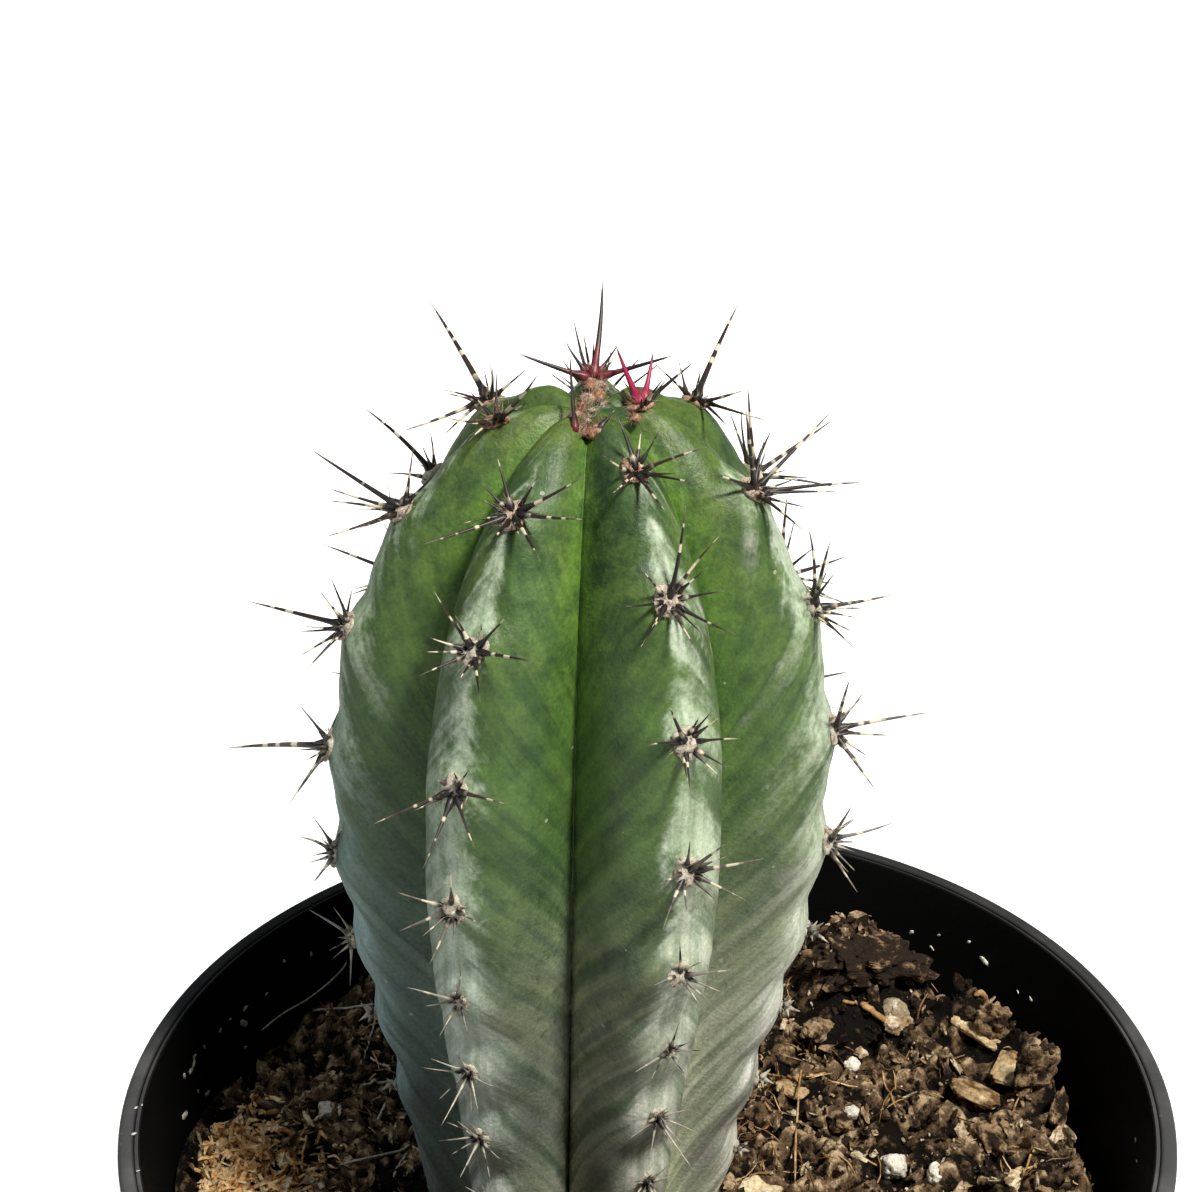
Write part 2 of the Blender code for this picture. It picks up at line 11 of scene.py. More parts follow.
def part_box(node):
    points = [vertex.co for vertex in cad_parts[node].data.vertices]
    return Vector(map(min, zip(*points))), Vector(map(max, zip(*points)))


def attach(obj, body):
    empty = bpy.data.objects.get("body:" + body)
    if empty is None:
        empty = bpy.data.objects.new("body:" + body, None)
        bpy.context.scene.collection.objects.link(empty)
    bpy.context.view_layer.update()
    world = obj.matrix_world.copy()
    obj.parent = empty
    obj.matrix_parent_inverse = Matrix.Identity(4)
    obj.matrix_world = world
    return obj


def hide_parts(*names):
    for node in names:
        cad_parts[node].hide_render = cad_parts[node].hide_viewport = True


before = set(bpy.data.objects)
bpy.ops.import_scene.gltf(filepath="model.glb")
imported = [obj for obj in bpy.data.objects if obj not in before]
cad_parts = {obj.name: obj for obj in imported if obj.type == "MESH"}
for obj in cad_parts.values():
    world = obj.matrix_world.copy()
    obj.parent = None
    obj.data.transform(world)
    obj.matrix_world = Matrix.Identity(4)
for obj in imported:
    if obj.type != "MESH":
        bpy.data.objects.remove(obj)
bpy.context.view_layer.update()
mm = 0.001
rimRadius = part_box("pot")[1].x / mm
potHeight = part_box("pot")[1].z / mm
print("frame loaded with", len(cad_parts), "nodes")


# Camera, first, because some spines and fibres are placed by where the photograph shows them

view = {
    "place": (-4.688, -268.949, 296.928),
    "pitchDown": 28.573,
    "roll": -0.59,
    "lens": 96.644,
    "sensor": 36,
    "photoWidth": 1192,
}


def makeCamera():
    turned = Matrix.Rotation(math.radians(90 - view["pitchDown"]), 4, "X")
    turned = turned @ Matrix.Rotation(math.radians(view["roll"]), 4, "Z")
    data = bpy.data.cameras.new("camera")
    data.lens = view["lens"]
    data.sensor_width = view["sensor"]
    data.clip_start = 0.01
    data.clip_end = 30
    camera = bpy.data.objects.new("camera", data)
    bpy.context.scene.collection.objects.link(camera)
    camera.matrix_world = Matrix.Translation([value * mm for value in view["place"]]) @ turned
    bpy.context.scene.camera = camera
    return np.array(turned.to_3x3())


cameraTurn = makeCamera()


def sightLine(pixel):
    # Start and unit direction of the camera's ray through a pixel of the photograph
    half = view["photoWidth"] / 2
    spread = view["sensor"] / view["lens"] / view["photoWidth"]
    way = cameraTurn @ np.array([(pixel[0] - half) * spread, (half - pixel[1]) * spread, -1])
    return np.array(view["place"]), way / np.linalg.norm(way)


def alongSight(pixel, span):
    # Places on that ray between two distances
    start, way = sightLine(pixel)
    return start + np.linspace(*span)[:, None] * way


# Small maths

def smoothCurve(stations, x):
    # Cubic through the stations, level at both ends
    xs, ys = np.array(stations, float).T
    slopes = np.zeros(len(xs))
    slopes[1:-1] = (ys[2:] - ys[:-2]) / (xs[2:] - xs[:-2])
    x = np.clip(x, xs[0], xs[-1])
    i = np.clip(np.searchsorted(xs, x, side="right") - 1, 0, len(xs) - 2)
    step = xs[i + 1] - xs[i]
    t = (x - xs[i]) / step
    start = (1 + 2 * t) * (1 - t) ** 2 * ys[i] + t * (1 - t) ** 2 * step * slopes[i]
    end = t * t * (3 - 2 * t) * ys[i + 1] + t * t * (t - 1) * step * slopes[i + 1]
    return start + end


def ease(x):
    t = np.clip(x, 0, 1)
    return t * t * (3 - 2 * t)


def bell(x):
    return np.exp(-x * x)


def scatter(a, b):
    # A fixed number from 0 to 1 for two counts: what follows the point in a much enlarged sine
    return np.modf(np.abs(np.sin(a * 12.9898 + b * 78.233) * 43758.5453))[0]


mixing = {
    # Odd numbers that multiply a corner's three counts, its seed and the mixture
    "counts": (73856093, 19349663, 83492791),
    "seed": 2654435761,
    "rounds": ((15, 2246822519), (13, 3266489917)),
    "all": 0xFFFFFFFF,
    "kept": 0xFFFF,
}


def cornerNumber(cell, seed):
    # A fixed number from 0 to 1 for each corner of a lattice, by mixing its three counts
    alongX, alongY, alongZ = (cell[..., axis] * mixing["counts"][axis] for axis in range(3))
    mixed = (alongX ^ alongY ^ alongZ ^ (seed * mixing["seed"])) & mixing["all"]
    for shift, factor in mixing["rounds"]:
        mixed = ((mixed ^ (mixed >> shift)) * factor) & mixing["all"]
    return ((mixed >> 8) & mixing["kept"]) / mixing["kept"]


def noise(points, size, seed=0):
    # Smooth noise from 0 to 1: the numbers at a cell's eight corners, blended across it
    place = points / size
    cell = np.floor(place).astype(np.int64)
    part = ease(place - cell)
    total = np.zeros(points.shape[:-1])
    for corner in range(8):
        step = np.array([corner & 1, corner >> 1 & 1, corner >> 2 & 1])
        weight = np.prod(np.where(step, part, 1 - part), axis=-1)
        total += weight * cornerNumber(cell + step, seed)
    return total


def roughNoise(points, size, octaves, seed=0):
    # Noise from -1 to 1 in layers, each half as large and half as strong as the one before
    total = 0
    for octave in range(octaves):
        total = total + (noise(points, size / 2 ** octave, seed + octave) * 2 - 1) / 2 ** octave
    return total / (2 - 0.5 ** (octaves - 1))


def unit(vectors):
    return vectors / np.maximum(np.linalg.norm(vectors, axis=-1, keepdims=True), 1e-9)


def roundTurns(count):
    # Even turns round a circle
    return np.arange(count) * 2 * math.pi / count


# Mesh making

def ringFaces(rows, columns):
    # Quads between closed rings of points, row after row
    row = np.arange(rows - 1)[:, None] * columns
    column = np.arange(columns)[None, :]
    beside = (column + 1) % columns
    quads = np.stack([row + column, row + beside, row + columns + beside, row + columns + column], axis=-1)
    return quads.reshape(-1, 4)


def fanFaces(middle, firstOfRing, columns, turnedRound):
    # Triangles from a middle point to a closed ring
    column = np.arange(columns)
    beside = (column + 1) % columns
    fan = np.stack([np.full(columns, middle), firstOfRing + beside, firstOfRing + column], axis=-1)
    return fan[:, ::-1] if turnedRound else fan


def closedFaces(rows, columns):
    # Quads between closed rings and a fan to each of the two end points that follow them
    start = fanFaces(rows * columns, 0, columns, False)
    end = fanFaces(rows * columns + 1, (rows - 1) * columns, columns, True)
    return [ringFaces(rows, columns), np.concatenate([start, end])]


def closedRows(grid, first, last):
    # Points and faces of a surface of closed rings, with a single point at each end
    points = np.concatenate([grid.reshape(-1, 3), [first], [last]])
    return points, closedFaces(*grid.shape[:2])


def repeatFaces(faces, pointCount, copies):
    # The same faces for each copy of a shape, counted on by its number of points
    offsets = (np.arange(copies) * pointCount)[:, None, None]
    return [(block[None] + offsets).reshape(-1, block.shape[1]) for block in faces]


def tubes(lines, radii, sides):
    # Tubes along many lines at once: a ring round each point, closed by the first and last point
    count, steps = radii.shape
    way = unit(lines[:, -1] - lines[:, 0])
    helper = np.where(np.abs(way[:, 2:]) < 0.8, [[0, 0, 1]], [[1, 0, 0]])
    side = unit(np.cross(way, helper))
    other = np.cross(way, side)
    turns = roundTurns(sides)
    ring = np.cos(turns)[:, None] * side[:, None] + np.sin(turns)[:, None] * other[:, None]
    rings = lines[:, :, None] + radii[:, :, None, None] * ring[:, None]
    points = np.concatenate([rings.reshape(count, -1, 3), lines[:, :1], lines[:, -1:]], axis=1)
    return points.reshape(-1, 3), repeatFaces(closedFaces(steps, sides), points.shape[1], count)


def alongTubes(values, sides):
    # Values at the points of many lines, repeated for the points of their tubes
    rings = np.repeat(values, sides, axis=1)
    return np.concatenate([rings, values[:, :1], values[:, -1:]], axis=1).ravel()


def volume(points, faces):
    # Sum of the small pyramids between the faces and the middle: above 0 where faces point out
    middle = points.mean(axis=0)
    total = 0
    for block in faces:
        for corner in range(1, block.shape[1] - 1):
            a, b, c = (points[block[:, i]] - middle for i in (0, corner, corner + 1))
            total += np.einsum("ij,ij->", a, np.cross(b, c))
    return total


def newPiece(name, points, faces, material, replaced=(), marks=None, sharp=None):
    # A mesh from points in millimetres and blocks of faces, turned to face out
    if volume(points, faces) < 0:
        faces = [block[:, ::-1] for block in faces]
    corners = np.concatenate([block.ravel() for block in faces])
    sizes = np.concatenate([np.full(len(block), block.shape[1]) for block in faces])
    mesh = bpy.data.meshes.new(name)
    mesh.vertices.add(len(points))
    mesh.vertices.foreach_set("co", (points * mm).astype(np.float32).ravel())
    mesh.loops.add(len(corners))
    mesh.loops.foreach_set("vertex_index", corners.astype(np.int32))
    mesh.polygons.add(len(sizes))
    mesh.polygons.foreach_set("loop_start", (np.cumsum(sizes) - sizes).astype(np.int32))
    mesh.update(calc_edges=True)
    for mark, values in (marks or {}).items():
        vector = values.ndim == 2
        layer = mesh.attributes.new(mark, "FLOAT_VECTOR" if vector else "FLOAT", "POINT")
        layer.data.foreach_set("vector" if vector else "value", values.astype(np.float32).ravel())
    mesh.shade_smooth()
    if sharp is not None:
        mesh.set_sharp_from_angle(angle=math.radians(sharp))
    mesh.materials.append(material)
    piece = bpy.data.objects.new(name, mesh)
    bpy.context.scene.collection.objects.link(piece)
    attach(piece, "root")
    if replaced:
        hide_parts(*replaced)
    print(name, len(sizes), "faces")
    return piece


# Lumps: a ball of triangles for stones and crumbs

def ballShape(level):
    # Unit ball from an icosahedron whose edges are halved level times
    golden = (1 + math.sqrt(5)) / 2
    points = unit(np.array((
        (-1, golden, 0), (1, golden, 0), (-1, -golden, 0), (1, -golden, 0),
        (0, -1, golden), (0, 1, golden), (0, -1, -golden), (0, 1, -golden),
        (golden, 0, -1), (golden, 0, 1), (-golden, 0, -1), (-golden, 0, 1))))
    faces = np.array((
        (0, 11, 5), (0, 5, 1), (0, 1, 7), (0, 7, 10), (0, 10, 11), (1, 5, 9), (5, 11, 4),
        (11, 10, 2), (10, 7, 6), (7, 1, 8), (3, 9, 4), (3, 4, 2), (3, 2, 6), (3, 6, 8), (3, 8, 9),
        (4, 9, 5), (2, 4, 11), (6, 2, 10), (8, 6, 7), (9, 8, 1)))
    for _ in range(level):
        edges = np.sort(np.concatenate([faces[:, [0, 1]], faces[:, [1, 2]], faces[:, [2, 0]]]), axis=1)
        pairs, place = np.unique(edges, axis=0, return_inverse=True)
        middles = place.reshape(3, -1).T + len(points)
        points = np.concatenate([points, unit(points[pairs[:, 0]] + points[pairs[:, 1]])])
        a, b, c = faces.T
        ab, bc, ca = middles.T
        corners = ((a, ab, ca), (ab, b, bc), (ca, bc, c), (ab, bc, ca))
        faces = np.concatenate([np.stack(corner, axis=1) for corner in corners])
    return points, faces


def turnings(turn, tilt, spin):
    # Rotation matrices: spin about the long axis, then tilt, then turn about up
    one, none = np.ones_like(turn), np.zeros_like(turn)

    def about(angle, order):
        c, s = np.cos(angle), np.sin(angle)
        rows = [[c, -s, none], [s, c, none], [none, none, one]]
        return np.moveaxis(np.array([[rows[i][j] for j in order] for i in order]), (0, 1), (-2, -1))

    return about(turn, (0, 1, 2)) @ about(tilt, (1, 2, 0)) @ about(spin, (2, 0, 1))


# Shader helpers

def join(socket, value):
    # Links a socket and sets anything else, a colour by its three numbers
    if isinstance(value, bpy.types.NodeSocket):
        socket.id_data.links.new(value, socket)
    elif socket.type == "RGBA":
        socket.default_value = (*value, 1)
    else:
        socket.default_value = value


work = {
    # The node tree that is being built
    "tree": None,
}


def put(kind, inputs=None, **settings):
    # A new shader node: settings are its properties, inputs are values or sockets
    made = work["tree"].nodes.new("ShaderNode" + kind)
    for key, value in settings.items():
        setattr(made, key, value)
    for key, value in (inputs or {}).items():
        join(made.inputs[key], value)
    return made


def sums(operation, a, b=0, c=0):
    return put("Math", {0: a, 1: b, 2: c}, operation=operation).outputs[0]


def times(a, b):
    return sums("MULTIPLY", a, b)


def timesPlus(a, b, c):
    return sums("MULTIPLY_ADD", a, b, c)


def blend(share, under, over, kind="MIX"):
    # The colour over in front of the one under, by a share
    mixed = put("Mix", {0: share, 6: under, 7: over}, data_type="RGBA", blend_type=kind,
                clamp_factor=True)
    return mixed.outputs[2]


def between(value, low, high):
    # 0 below low, 1 above high, smooth between
    ranged = put("MapRange", {"Value": value, "From Min": low, "From Max": high},
                 interpolation_type="SMOOTHSTEP")
    return ranged.outputs["Result"]


def twoTone(value, low, high, dark, light):
    # The dark colour below low, the light one above high
    return blend(between(value, low, high), dark, light)


def grain(vector, scale, octaves, roughness):
    return put("TexNoise", {"Vector": vector, "Scale": scale, "Detail": octaves,
               "Roughness": roughness}).outputs["Fac"]


def mark(name):
    return put("Attribute", attribute_name=name)


def markValues(*names):
    # The values of a mesh's named marks
    return {name: mark(name).outputs["Fac"] for name in names}


def newGroup(name, inputs, outputs):
    # An empty shader group with named sockets, each a colour, a value or a vector
    tree = bpy.data.node_groups.new(name, "ShaderNodeTree")
    work["tree"] = tree
    kinds = {"colour": "NodeSocketColor", "value": "NodeSocketFloat", "vector": "NodeSocketVector"}
    for way, sockets in (("INPUT", inputs), ("OUTPUT", outputs)):
        for label, kind in sockets.items():
            tree.interface.new_socket(label, in_out=way, socket_type=kinds[kind])
    return tree, tree.nodes.new("NodeGroupInput").outputs, tree.nodes.new("NodeGroupOutput").inputs


def useGroup(group, inputs):
    return put("Group", inputs, node_tree=group).outputs


def newFinish(name):
    # A new material with its shader
    material = bpy.data.materials.new(name)
    material.use_nodes = True
    work["tree"] = material.node_tree
    return material, material.node_tree.nodes["Principled BSDF"]


def finishSurface(shader, colour, roughness, height=None, depth=0.1, shine=None):
    # Joins a material's results to its shader, with depth of the bump in millimetres
    join(shader.inputs["Base Color"], colour)
    join(shader.inputs["Roughness"], roughness)
    if shine is not None:
        join(shader.inputs["Specular IOR Level"], shine)
    if height is not None:
        bump = put("Bump", {"Height": height, "Distance": depth * mm, "Strength": 1})
        join(shader.inputs["Normal"], bump.outputs["Normal"])


# Stem: seven ribs round an axis that leans a little to the right

stem = {
    "ribs": 7,
    "foot": (-7.4, 0),
    "lean": (0.029, -0.008),
    "frontGroove": -3.3,
    "shoulder": 134,
    "crown": 172.3,
    "widthPower": 1.9,
    "heightPower": 2.15,
    "crest": (
        (60, 11.2), (68, 13), (79, 15.2), (90, 17.2), (101, 19.4), (112, 21.9), (123, 23.9),
        (134, 24.4)),
    "crestSteps": (240, 301),
    "outlineSteps": 721,
    "rootEnd": 59,
    "rootRounding": 6,
    # Depth of the grooves by distance from the apex, their roundness and the filling at the bottom
    "groove": ((0, 1.8), (8, 3), (20, 6.4), (38, 10.2), (60, 10.6), (80, 8.2), (100, 5.4), (122, 3.6)),
    "groovePower": 0.7,
    "grooveFill": 0.07,
    "grooveFillWidth": 0.15,
    "apexBlend": 6,
    "rows": 268,
    "rowCrowding": 0.1,
    "halfColumns": 24,
    "columnCrowding": 0.5,
    # Height of wrinkles and folds, then size, octaves and seed of their noise, how it is stretched along the
    # falling lines, and how far from the crest the folds have come in
    "wrinkles": (0.1, 2.2, 3, 3),
    "folds": (0.1, 1.5, 2, 5),
    "foldStretch": (1, 0.25, 0.25),
    "foldsAcross": 0.3,
    # Distances from the apex and from the root end over which wrinkles, folds and furrow begin
    "smoothEnds": (12, 30),
    "furrow": 0.6,
    "furrowDown": ((0, 0.05), (30, 0.12), (60, 0.6), (85, 1)),
    "furrowWidth": 0.026,
}

bloom = {
    # Fall of the lines from the crest to the groove, and the share by which they bend down near it
    "chevron": (13, 0.35),
    "radius": 14,
    # How far the bloom reaches across a rib and how strong it is, by distance from the apex
    "reach": ((0, 0.12), (12, 0.28), (32, 0.42), (55, 0.6), (72, 0.8), (90, 1.05), (118, 1.3)),
    "strength": ((0, 0.12), (12, 0.4), (23, 0.9), (60, 1.15), (90, 1.3)),
    # Its width left and right of each rib's crest, and from where the widest runs on unbroken
    "left": (0.8, 1, 1.3, 0.27, 1, 0.8, 0.8),
    "right": (0.8, 0.85, 0.38, 1.3, 1, 0.8, 0.8),
    "wide": 1.3,
    "wideFrom": (12, 14),
    # Where sides that are narrower than a limit grow even with the others, to what width
    "even": (58, 32, 0.5, 0.8),
    # Along the falling lines: the longest distance between areoles, the quick and slow fade below one, the
    # fade above the next with its least share, and where these end
    "spacing": 14,
    "below": (1.5, 6, 0.72),
    "above": (2.5, 0.6),
    "unbroken": (32, 30),
    "widening": (10, 0.45, 0.75),
    "widened": (40, 30),
    # Share of painted shade, a cooler, darker skin, on each rib away from the key light, below where it
    # starts, in distance from the apex
    "paintedRibShade": (0.6, 1, 0.28, 0, 0, 0, 0.3),
    "paintedRibShadeFrom": (30, 34),
    # Duller bloom beside the crests: start across, change, and its share where the bloom is wide
    "dull": (0.2, 0.3, 0.35),
    # Dark plumes: distance below each areole and half width, share by rib, and where they start
    "plume": (3.4, 1.5),
    "plumeShare": (0.4, 0.4, 1, 1, 0.4, 0.4, 0.4),
    "plumeAcross": (0.1, 0.18),
    "plumeFrom": (36, 16),
    # Patches of painted light (above 0) and painted shade (below 0), mostly beside the grooves: rib, place
    # across and down it, half sizes of the patch, and amount
    "lightAndShadePatches": (
        (3, -0.62, 16, 0.32, 8.5, -1), (2, 0.48, 22, 0.34, 7, 0.6),
        (2, 0.8, 33, 0.22, 6, -0.5), (3, -0.82, 50, 0.24, 9, 0.75),
        (2, 0.6, 77, 0.4, 8, -0.6), (3, -0.9, 88, 0.22, 9, 0.7),
        (4, -0.5, 84, 0.5, 13, 0.6)),
}

areole = {
    "first": 7,
    "spacing": ((-1, 9.5), (0.5, 11.7), (2, 13.2), (3.5, 12.6), (5, 10), (9, 9.8)),
    "stagger": (0.6, 0.19, 0.76, 0.38, -0.03, 0.54, 0.05),
    "lowest": 86,
    "most": 12,
    "tubercle": 0.64,
    "swelling": (1, 3.2),
    "notch": (-3.4, 1.8),
    "notchShare": 0.55,
    "width": 0.55,
    "fade": 14,
    # Areoles, by rib and count, that stand nearer to the apex than the spacing says
    "nudges": {(6, 0): -2.8, (4, 0): -1.7},
    # How much smaller pads and spines are low down, from where and over what distance
    "shrinking": (0.4, 48, 30),
    # Brown wool near the crown: most of it, from where it fades and over what distance
    "brown": (0.9, 6, 22),
}


def crestLine():
    # Crest outline from apex to root end: a superellipse crown over a curve through the body's radii
    crownSteps, bodySteps = stem["crestSteps"]
    lift = np.cos(np.linspace(0, math.pi / 2, crownSteps))
    crownHeight = stem["shoulder"] + (stem["crown"] - stem["shoulder"]) * lift
    crownRadius = stem["crest"][-1][1] * (1 - lift ** stem["heightPower"]) ** (1 / stem["widthPower"])
    bodyHeight = np.linspace(stem["shoulder"], stem["rootEnd"], bodySteps)[1:]
    rounding = np.clip((bodyHeight - stem["rootEnd"]) / stem["rootRounding"], 0, 1)
    bodyRadius = smoothCurve(stem["crest"], bodyHeight) * np.sqrt(1 - (1 - rounding) ** 2)
    radius = np.concatenate([crownRadius, bodyRadius])
    height = np.concatenate([crownHeight, bodyHeight])
    arc = np.concatenate([[0], np.cumsum(np.hypot(np.diff(radius), np.diff(height)))])
    return arc, radius, height, -np.gradient(height, arc), np.gradient(radius, arc)


crest = crestLine()
stemLength = crest[0][-1]
soilLevel = 78


def crestAt(arc):
    # Radius, height and outward normal of a crest at a distance from the apex
    radius, height, normalR, normalZ = (np.interp(arc, crest[0], line) for line in crest[1:])
    size = np.hypot(normalR, normalZ)
    return radius, height, normalR / size, normalZ / size


def ribTurn(rib):
    # Azimuth of a rib's crest from the front, growing to the right
    return math.radians(stem["frontGroove"]) + (rib - 2.5) * 2 * math.pi / stem["ribs"]


def areoleArc(count, rib):
    # Distance from the apex: the spacing added up from the rib's own start
    steps = np.linspace(0, count + areole["stagger"][rib], 60)
    spacing = smoothCurve(areole["spacing"], steps)
    nudge = areole["nudges"].get((rib, count), 0)
    return areole["first"] + nudge + float(np.sum((spacing[1:] + spacing[:-1]) * np.diff(steps)) / 2)


def findAreoles():
    # Rib, count from the crown and distance from the apex of each areole above the soil
    every = [(rib, count) for rib in range(stem["ribs"]) for count in range(areole["most"])]
    places = [(rib, count, areoleArc(count, rib)) for rib, count in every]
    return [place for place in places if crestAt(place[2])[1] > areole["lowest"]]


areoles = findAreoles()


def areoleBells(way, rib, after, width):
    # A bell at a distance after each areole of the rib
    return sum((rib == itsRib) * bell((way - place - after) / width) for itsRib, _, place in areoles)


def tubercles(rib, arc):
    # Swelling of a crest below each areole and a notch above it, each a bell along the crest
    swelling = areoleBells(arc, rib, *areole["swelling"])
    swelling = swelling - areole["notchShare"] * areoleBells(arc, rib, *areole["notch"])
    return areole["tubercle"] * swelling * ease(arc / areole["fade"])


def lean(points):
    # From round the stem's own axis to where the leaning stem stands
    above = points[..., 2:] - potHeight
    shift = np.array(stem["foot"]) + above * np.array(stem["lean"])
    return np.concatenate([points[..., :2] + shift, points[..., 2:]], axis=-1)


def stemSurface(arc, rib, across, swell=0, relief=0):
    # Crest point moved in by the groove's depth, which grows from crest (0) to groove (-1 and 1), then turned
    radius, height, normalR, normalZ = crestAt(arc)
    depth = smoothCurve(stem["groove"], arc)
    aside = np.minimum(np.abs(across), 1)
    aside = aside * (1 - stem["grooveFill"] * bell((1 - aside) / stem["grooveFillWidth"]))
    valley = 1 - np.cos(np.pi / 2 * aside) ** stem["groovePower"]
    openUp = ease(arc / stem["apexBlend"])
    sink = depth * (valley * openUp + 1 - openUp) - relief
    sink = sink - tubercles(rib, arc) * np.clip(1 - (across / areole["width"]) ** 2, 0, 1)
    radius = radius - normalR * sink + swell
    height = height - normalZ * (sink - swell)
    turn = ribTurn(rib) + across * math.pi / stem["ribs"]
    return lean(np.stack([radius * np.sin(turn), -radius * np.cos(turn), height + 0 * radius], axis=-1))


def ribColumns(halfColumns, crowding):
    # Rib and place across it for each column, closer at the crests and the grooves
    half = np.linspace(0, 1, halfColumns + 1)
    half = half - crowding * np.sin(2 * math.pi * half) / (2 * math.pi)
    across = np.concatenate([-half[:0:-1], half[:-1]])
    return np.repeat(np.arange(stem["ribs"]), len(across)), np.tile(across, stem["ribs"])


def chevron(arc, across):
    # Lines that fall from crest to groove: distance from the apex less the fall at this place across
    fall, bend = bloom["chevron"]
    return arc - fall * (np.abs(across) + bend * np.abs(across) ** 3)


def easeFrom(value, start, change):
    # 0 up to the start, 1 past the change after it
    return ease((value - start) / change)


def bloomWidth(rib, across):
    return np.where(across < 0, np.array(bloom["left"])[rib], np.array(bloom["right"])[rib])


def plumeAmount(arc, rib, across):
    # Dark plumes: a bell a little below each areole along the falling lines, beside the crest
    way = chevron(arc, across)
    plumes = areoleBells(way, rib, *bloom["plume"]) * np.array(bloom["plumeShare"])[rib]
    return plumes * easeFrom(np.abs(across), *bloom["plumeAcross"]) * easeFrom(arc, *bloom["plumeFrom"])


def paintedLightAndShadeAmount(arc, rib, across):
    # Patches of painted light and painted shade: a bell across the rib times a bell down it for each
    amount = np.zeros(np.broadcast(rib, arc).shape)
    for itsRib, besides, down, wide, tall, share in bloom["lightAndShadePatches"]:
        amount += (rib == itsRib) * share * bell((across - besides) / wide) * bell((arc - down) / tall)
    return amount


def fromAreole(way, rib, side):
    # Distance along the falling lines from the last areole (side 1) or to the next one (side -1)
    nearest = np.full(np.broadcast(rib, way).shape, bloom["spacing"])
    for itsRib, _, place in areoles:
        distance = side * (way - place)
        nearer = (rib == itsRib) & (distance > 0) & (distance < nearest)
        nearest = np.where(nearer, distance, nearest)
    return nearest


def bloomAmount(arc, rib, across):
    # Grey bloom: a bell round the crest that widens down the stem, times a tent below each areole
    way = chevron(arc, across)
    since, until = fromAreole(way, rib, 1), fromAreole(way, rib, -1)
    quick, slow, first = bloom["below"]
    end, least = bloom["above"]
    tent = ease(since / quick) * (first + (1 - first) * ease(since / slow))
    tent = tent * (least + (1 - least) * ease(until / end))
    change, narrow, more = bloom["widening"]
    widening = narrow + more * ease(since / change)
    reach = smoothCurve(bloom["reach"], arc) * (widening + (1 - widening) * easeFrom(arc, *bloom["widened"]))
    tent = tent + (1 - tent) * easeFrom(arc, *bloom["unbroken"])
    wide = bloomWidth(rib, across)
    tent = np.where(wide == bloom["wide"], tent + (1 - tent) * easeFrom(arc, *bloom["wideFrom"]), tent)
    start, change, limit, full = bloom["even"]
    wide = np.where(wide < limit, wide + (full - wide) * easeFrom(arc, start, change), wide)
    return smoothCurve(bloom["strength"], arc) * bell(np.abs(across) / (reach * wide)) * tent


def makeStem(material):
    # The crest line's surface with wrinkles, folds along the falling lines and a furrow in each groove
    rib, across = ribColumns(stem["halfColumns"], stem["columnCrowding"])
    t = np.linspace(0, 1, stem["rows"] + 2)[1:-1]
    arc = (stemLength * (t - stem["rowCrowding"] * np.sin(math.pi * t) * (1 - t)))[:, None]
    smoothGrid = stemSurface(arc, rib, across)
    way = chevron(arc, across)
    turn = ribTurn(rib) + across * math.pi / stem["ribs"]
    radius = bloom["radius"]
    skinWay = np.stack([way, radius * np.sin(turn) + 0 * way, radius * np.cos(turn) + 0 * way], axis=-1)
    top, bottom = stem["smoothEnds"]
    rough = ease(arc / top) * ease((stemLength - arc) / bottom)
    height, *pattern = stem["folds"]
    folds = roughNoise(skinWay * stem["foldStretch"], *pattern) * ease(np.abs(across) / stem["foldsAcross"])
    lift, *pattern = stem["wrinkles"]
    relief = lift * roughNoise(smoothGrid, *pattern) + height * folds
    furrow = stem["furrow"] * smoothCurve(stem["furrowDown"], arc)
    furrow = furrow * bell((1 - np.abs(across)) / stem["furrowWidth"])
    grid = stemSurface(arc, rib, across, 0, relief * rough - furrow * rough)
    apex = stemSurface(np.array([0]), 0, np.array([0]))[0]
    foot = lean(np.array([[0, 0, stem["rootEnd"]]]))[0]
    points, faces = closedRows(grid, apex, foot)

    start, change, leastDull = bloom["dull"]
    isWide = bloomWidth(rib, across) == bloom["wide"]
    dull = easeFrom(np.abs(across), start, change) * np.where(isWide, leastDull, 1)
    marks = {
        "bloom": bloomAmount(arc, rib, across),
        "dull": dull,
        # Painted shade on the ribs away from the key light
        "paintedRibShade": np.array(bloom["paintedRibShade"])[rib] * easeFrom(arc, *bloom["paintedRibShadeFrom"]),
        "plume": plumeAmount(arc, rib, across),
        # Patches of painted light and painted shade
        "paintedLightAndShade": paintedLightAndShadeAmount(arc, rib, across),
        "across": np.abs(across),
        "fromApex": arc / 100,
    }
    for name, values in marks.items():
        values = np.broadcast_to(values, grid.shape[:2]).ravel()
        marks[name] = np.concatenate([values, values[:1], values[-1:]])
    marks["skinWay"] = np.concatenate([skinWay.reshape(-1, 3), skinWay[0, :1], skinWay[-1, :1]])
    newPiece("stem", points, faces, material, ["cactus"], marks)


# Areoles: felt pads, tufts of hair and spines

felt = {
    "halfSize": (1.35, 1.55, 0.52),
    "wornShare": 0.75,
    "youngScale": (0.75, 20),
    "roundness": 0.8,
    "bumps": (0.55, 0.9, 2, 11),
    "columns": 22,
    "rows": 11,
    "hairs": 45,
    "wornHairs": 9,
    "hairFoot": 0.92,
    "hairLean": (0.8, 0.35),
    "hairLength": (0.5, 1.1),
    "youngLength": 0.8,
    "hairBend": 0.25,
    "hairRadius": 0.028,
    "hairTaper": (1, 0.9, 0.65, 0.15),
    "hairSides": 3,
}

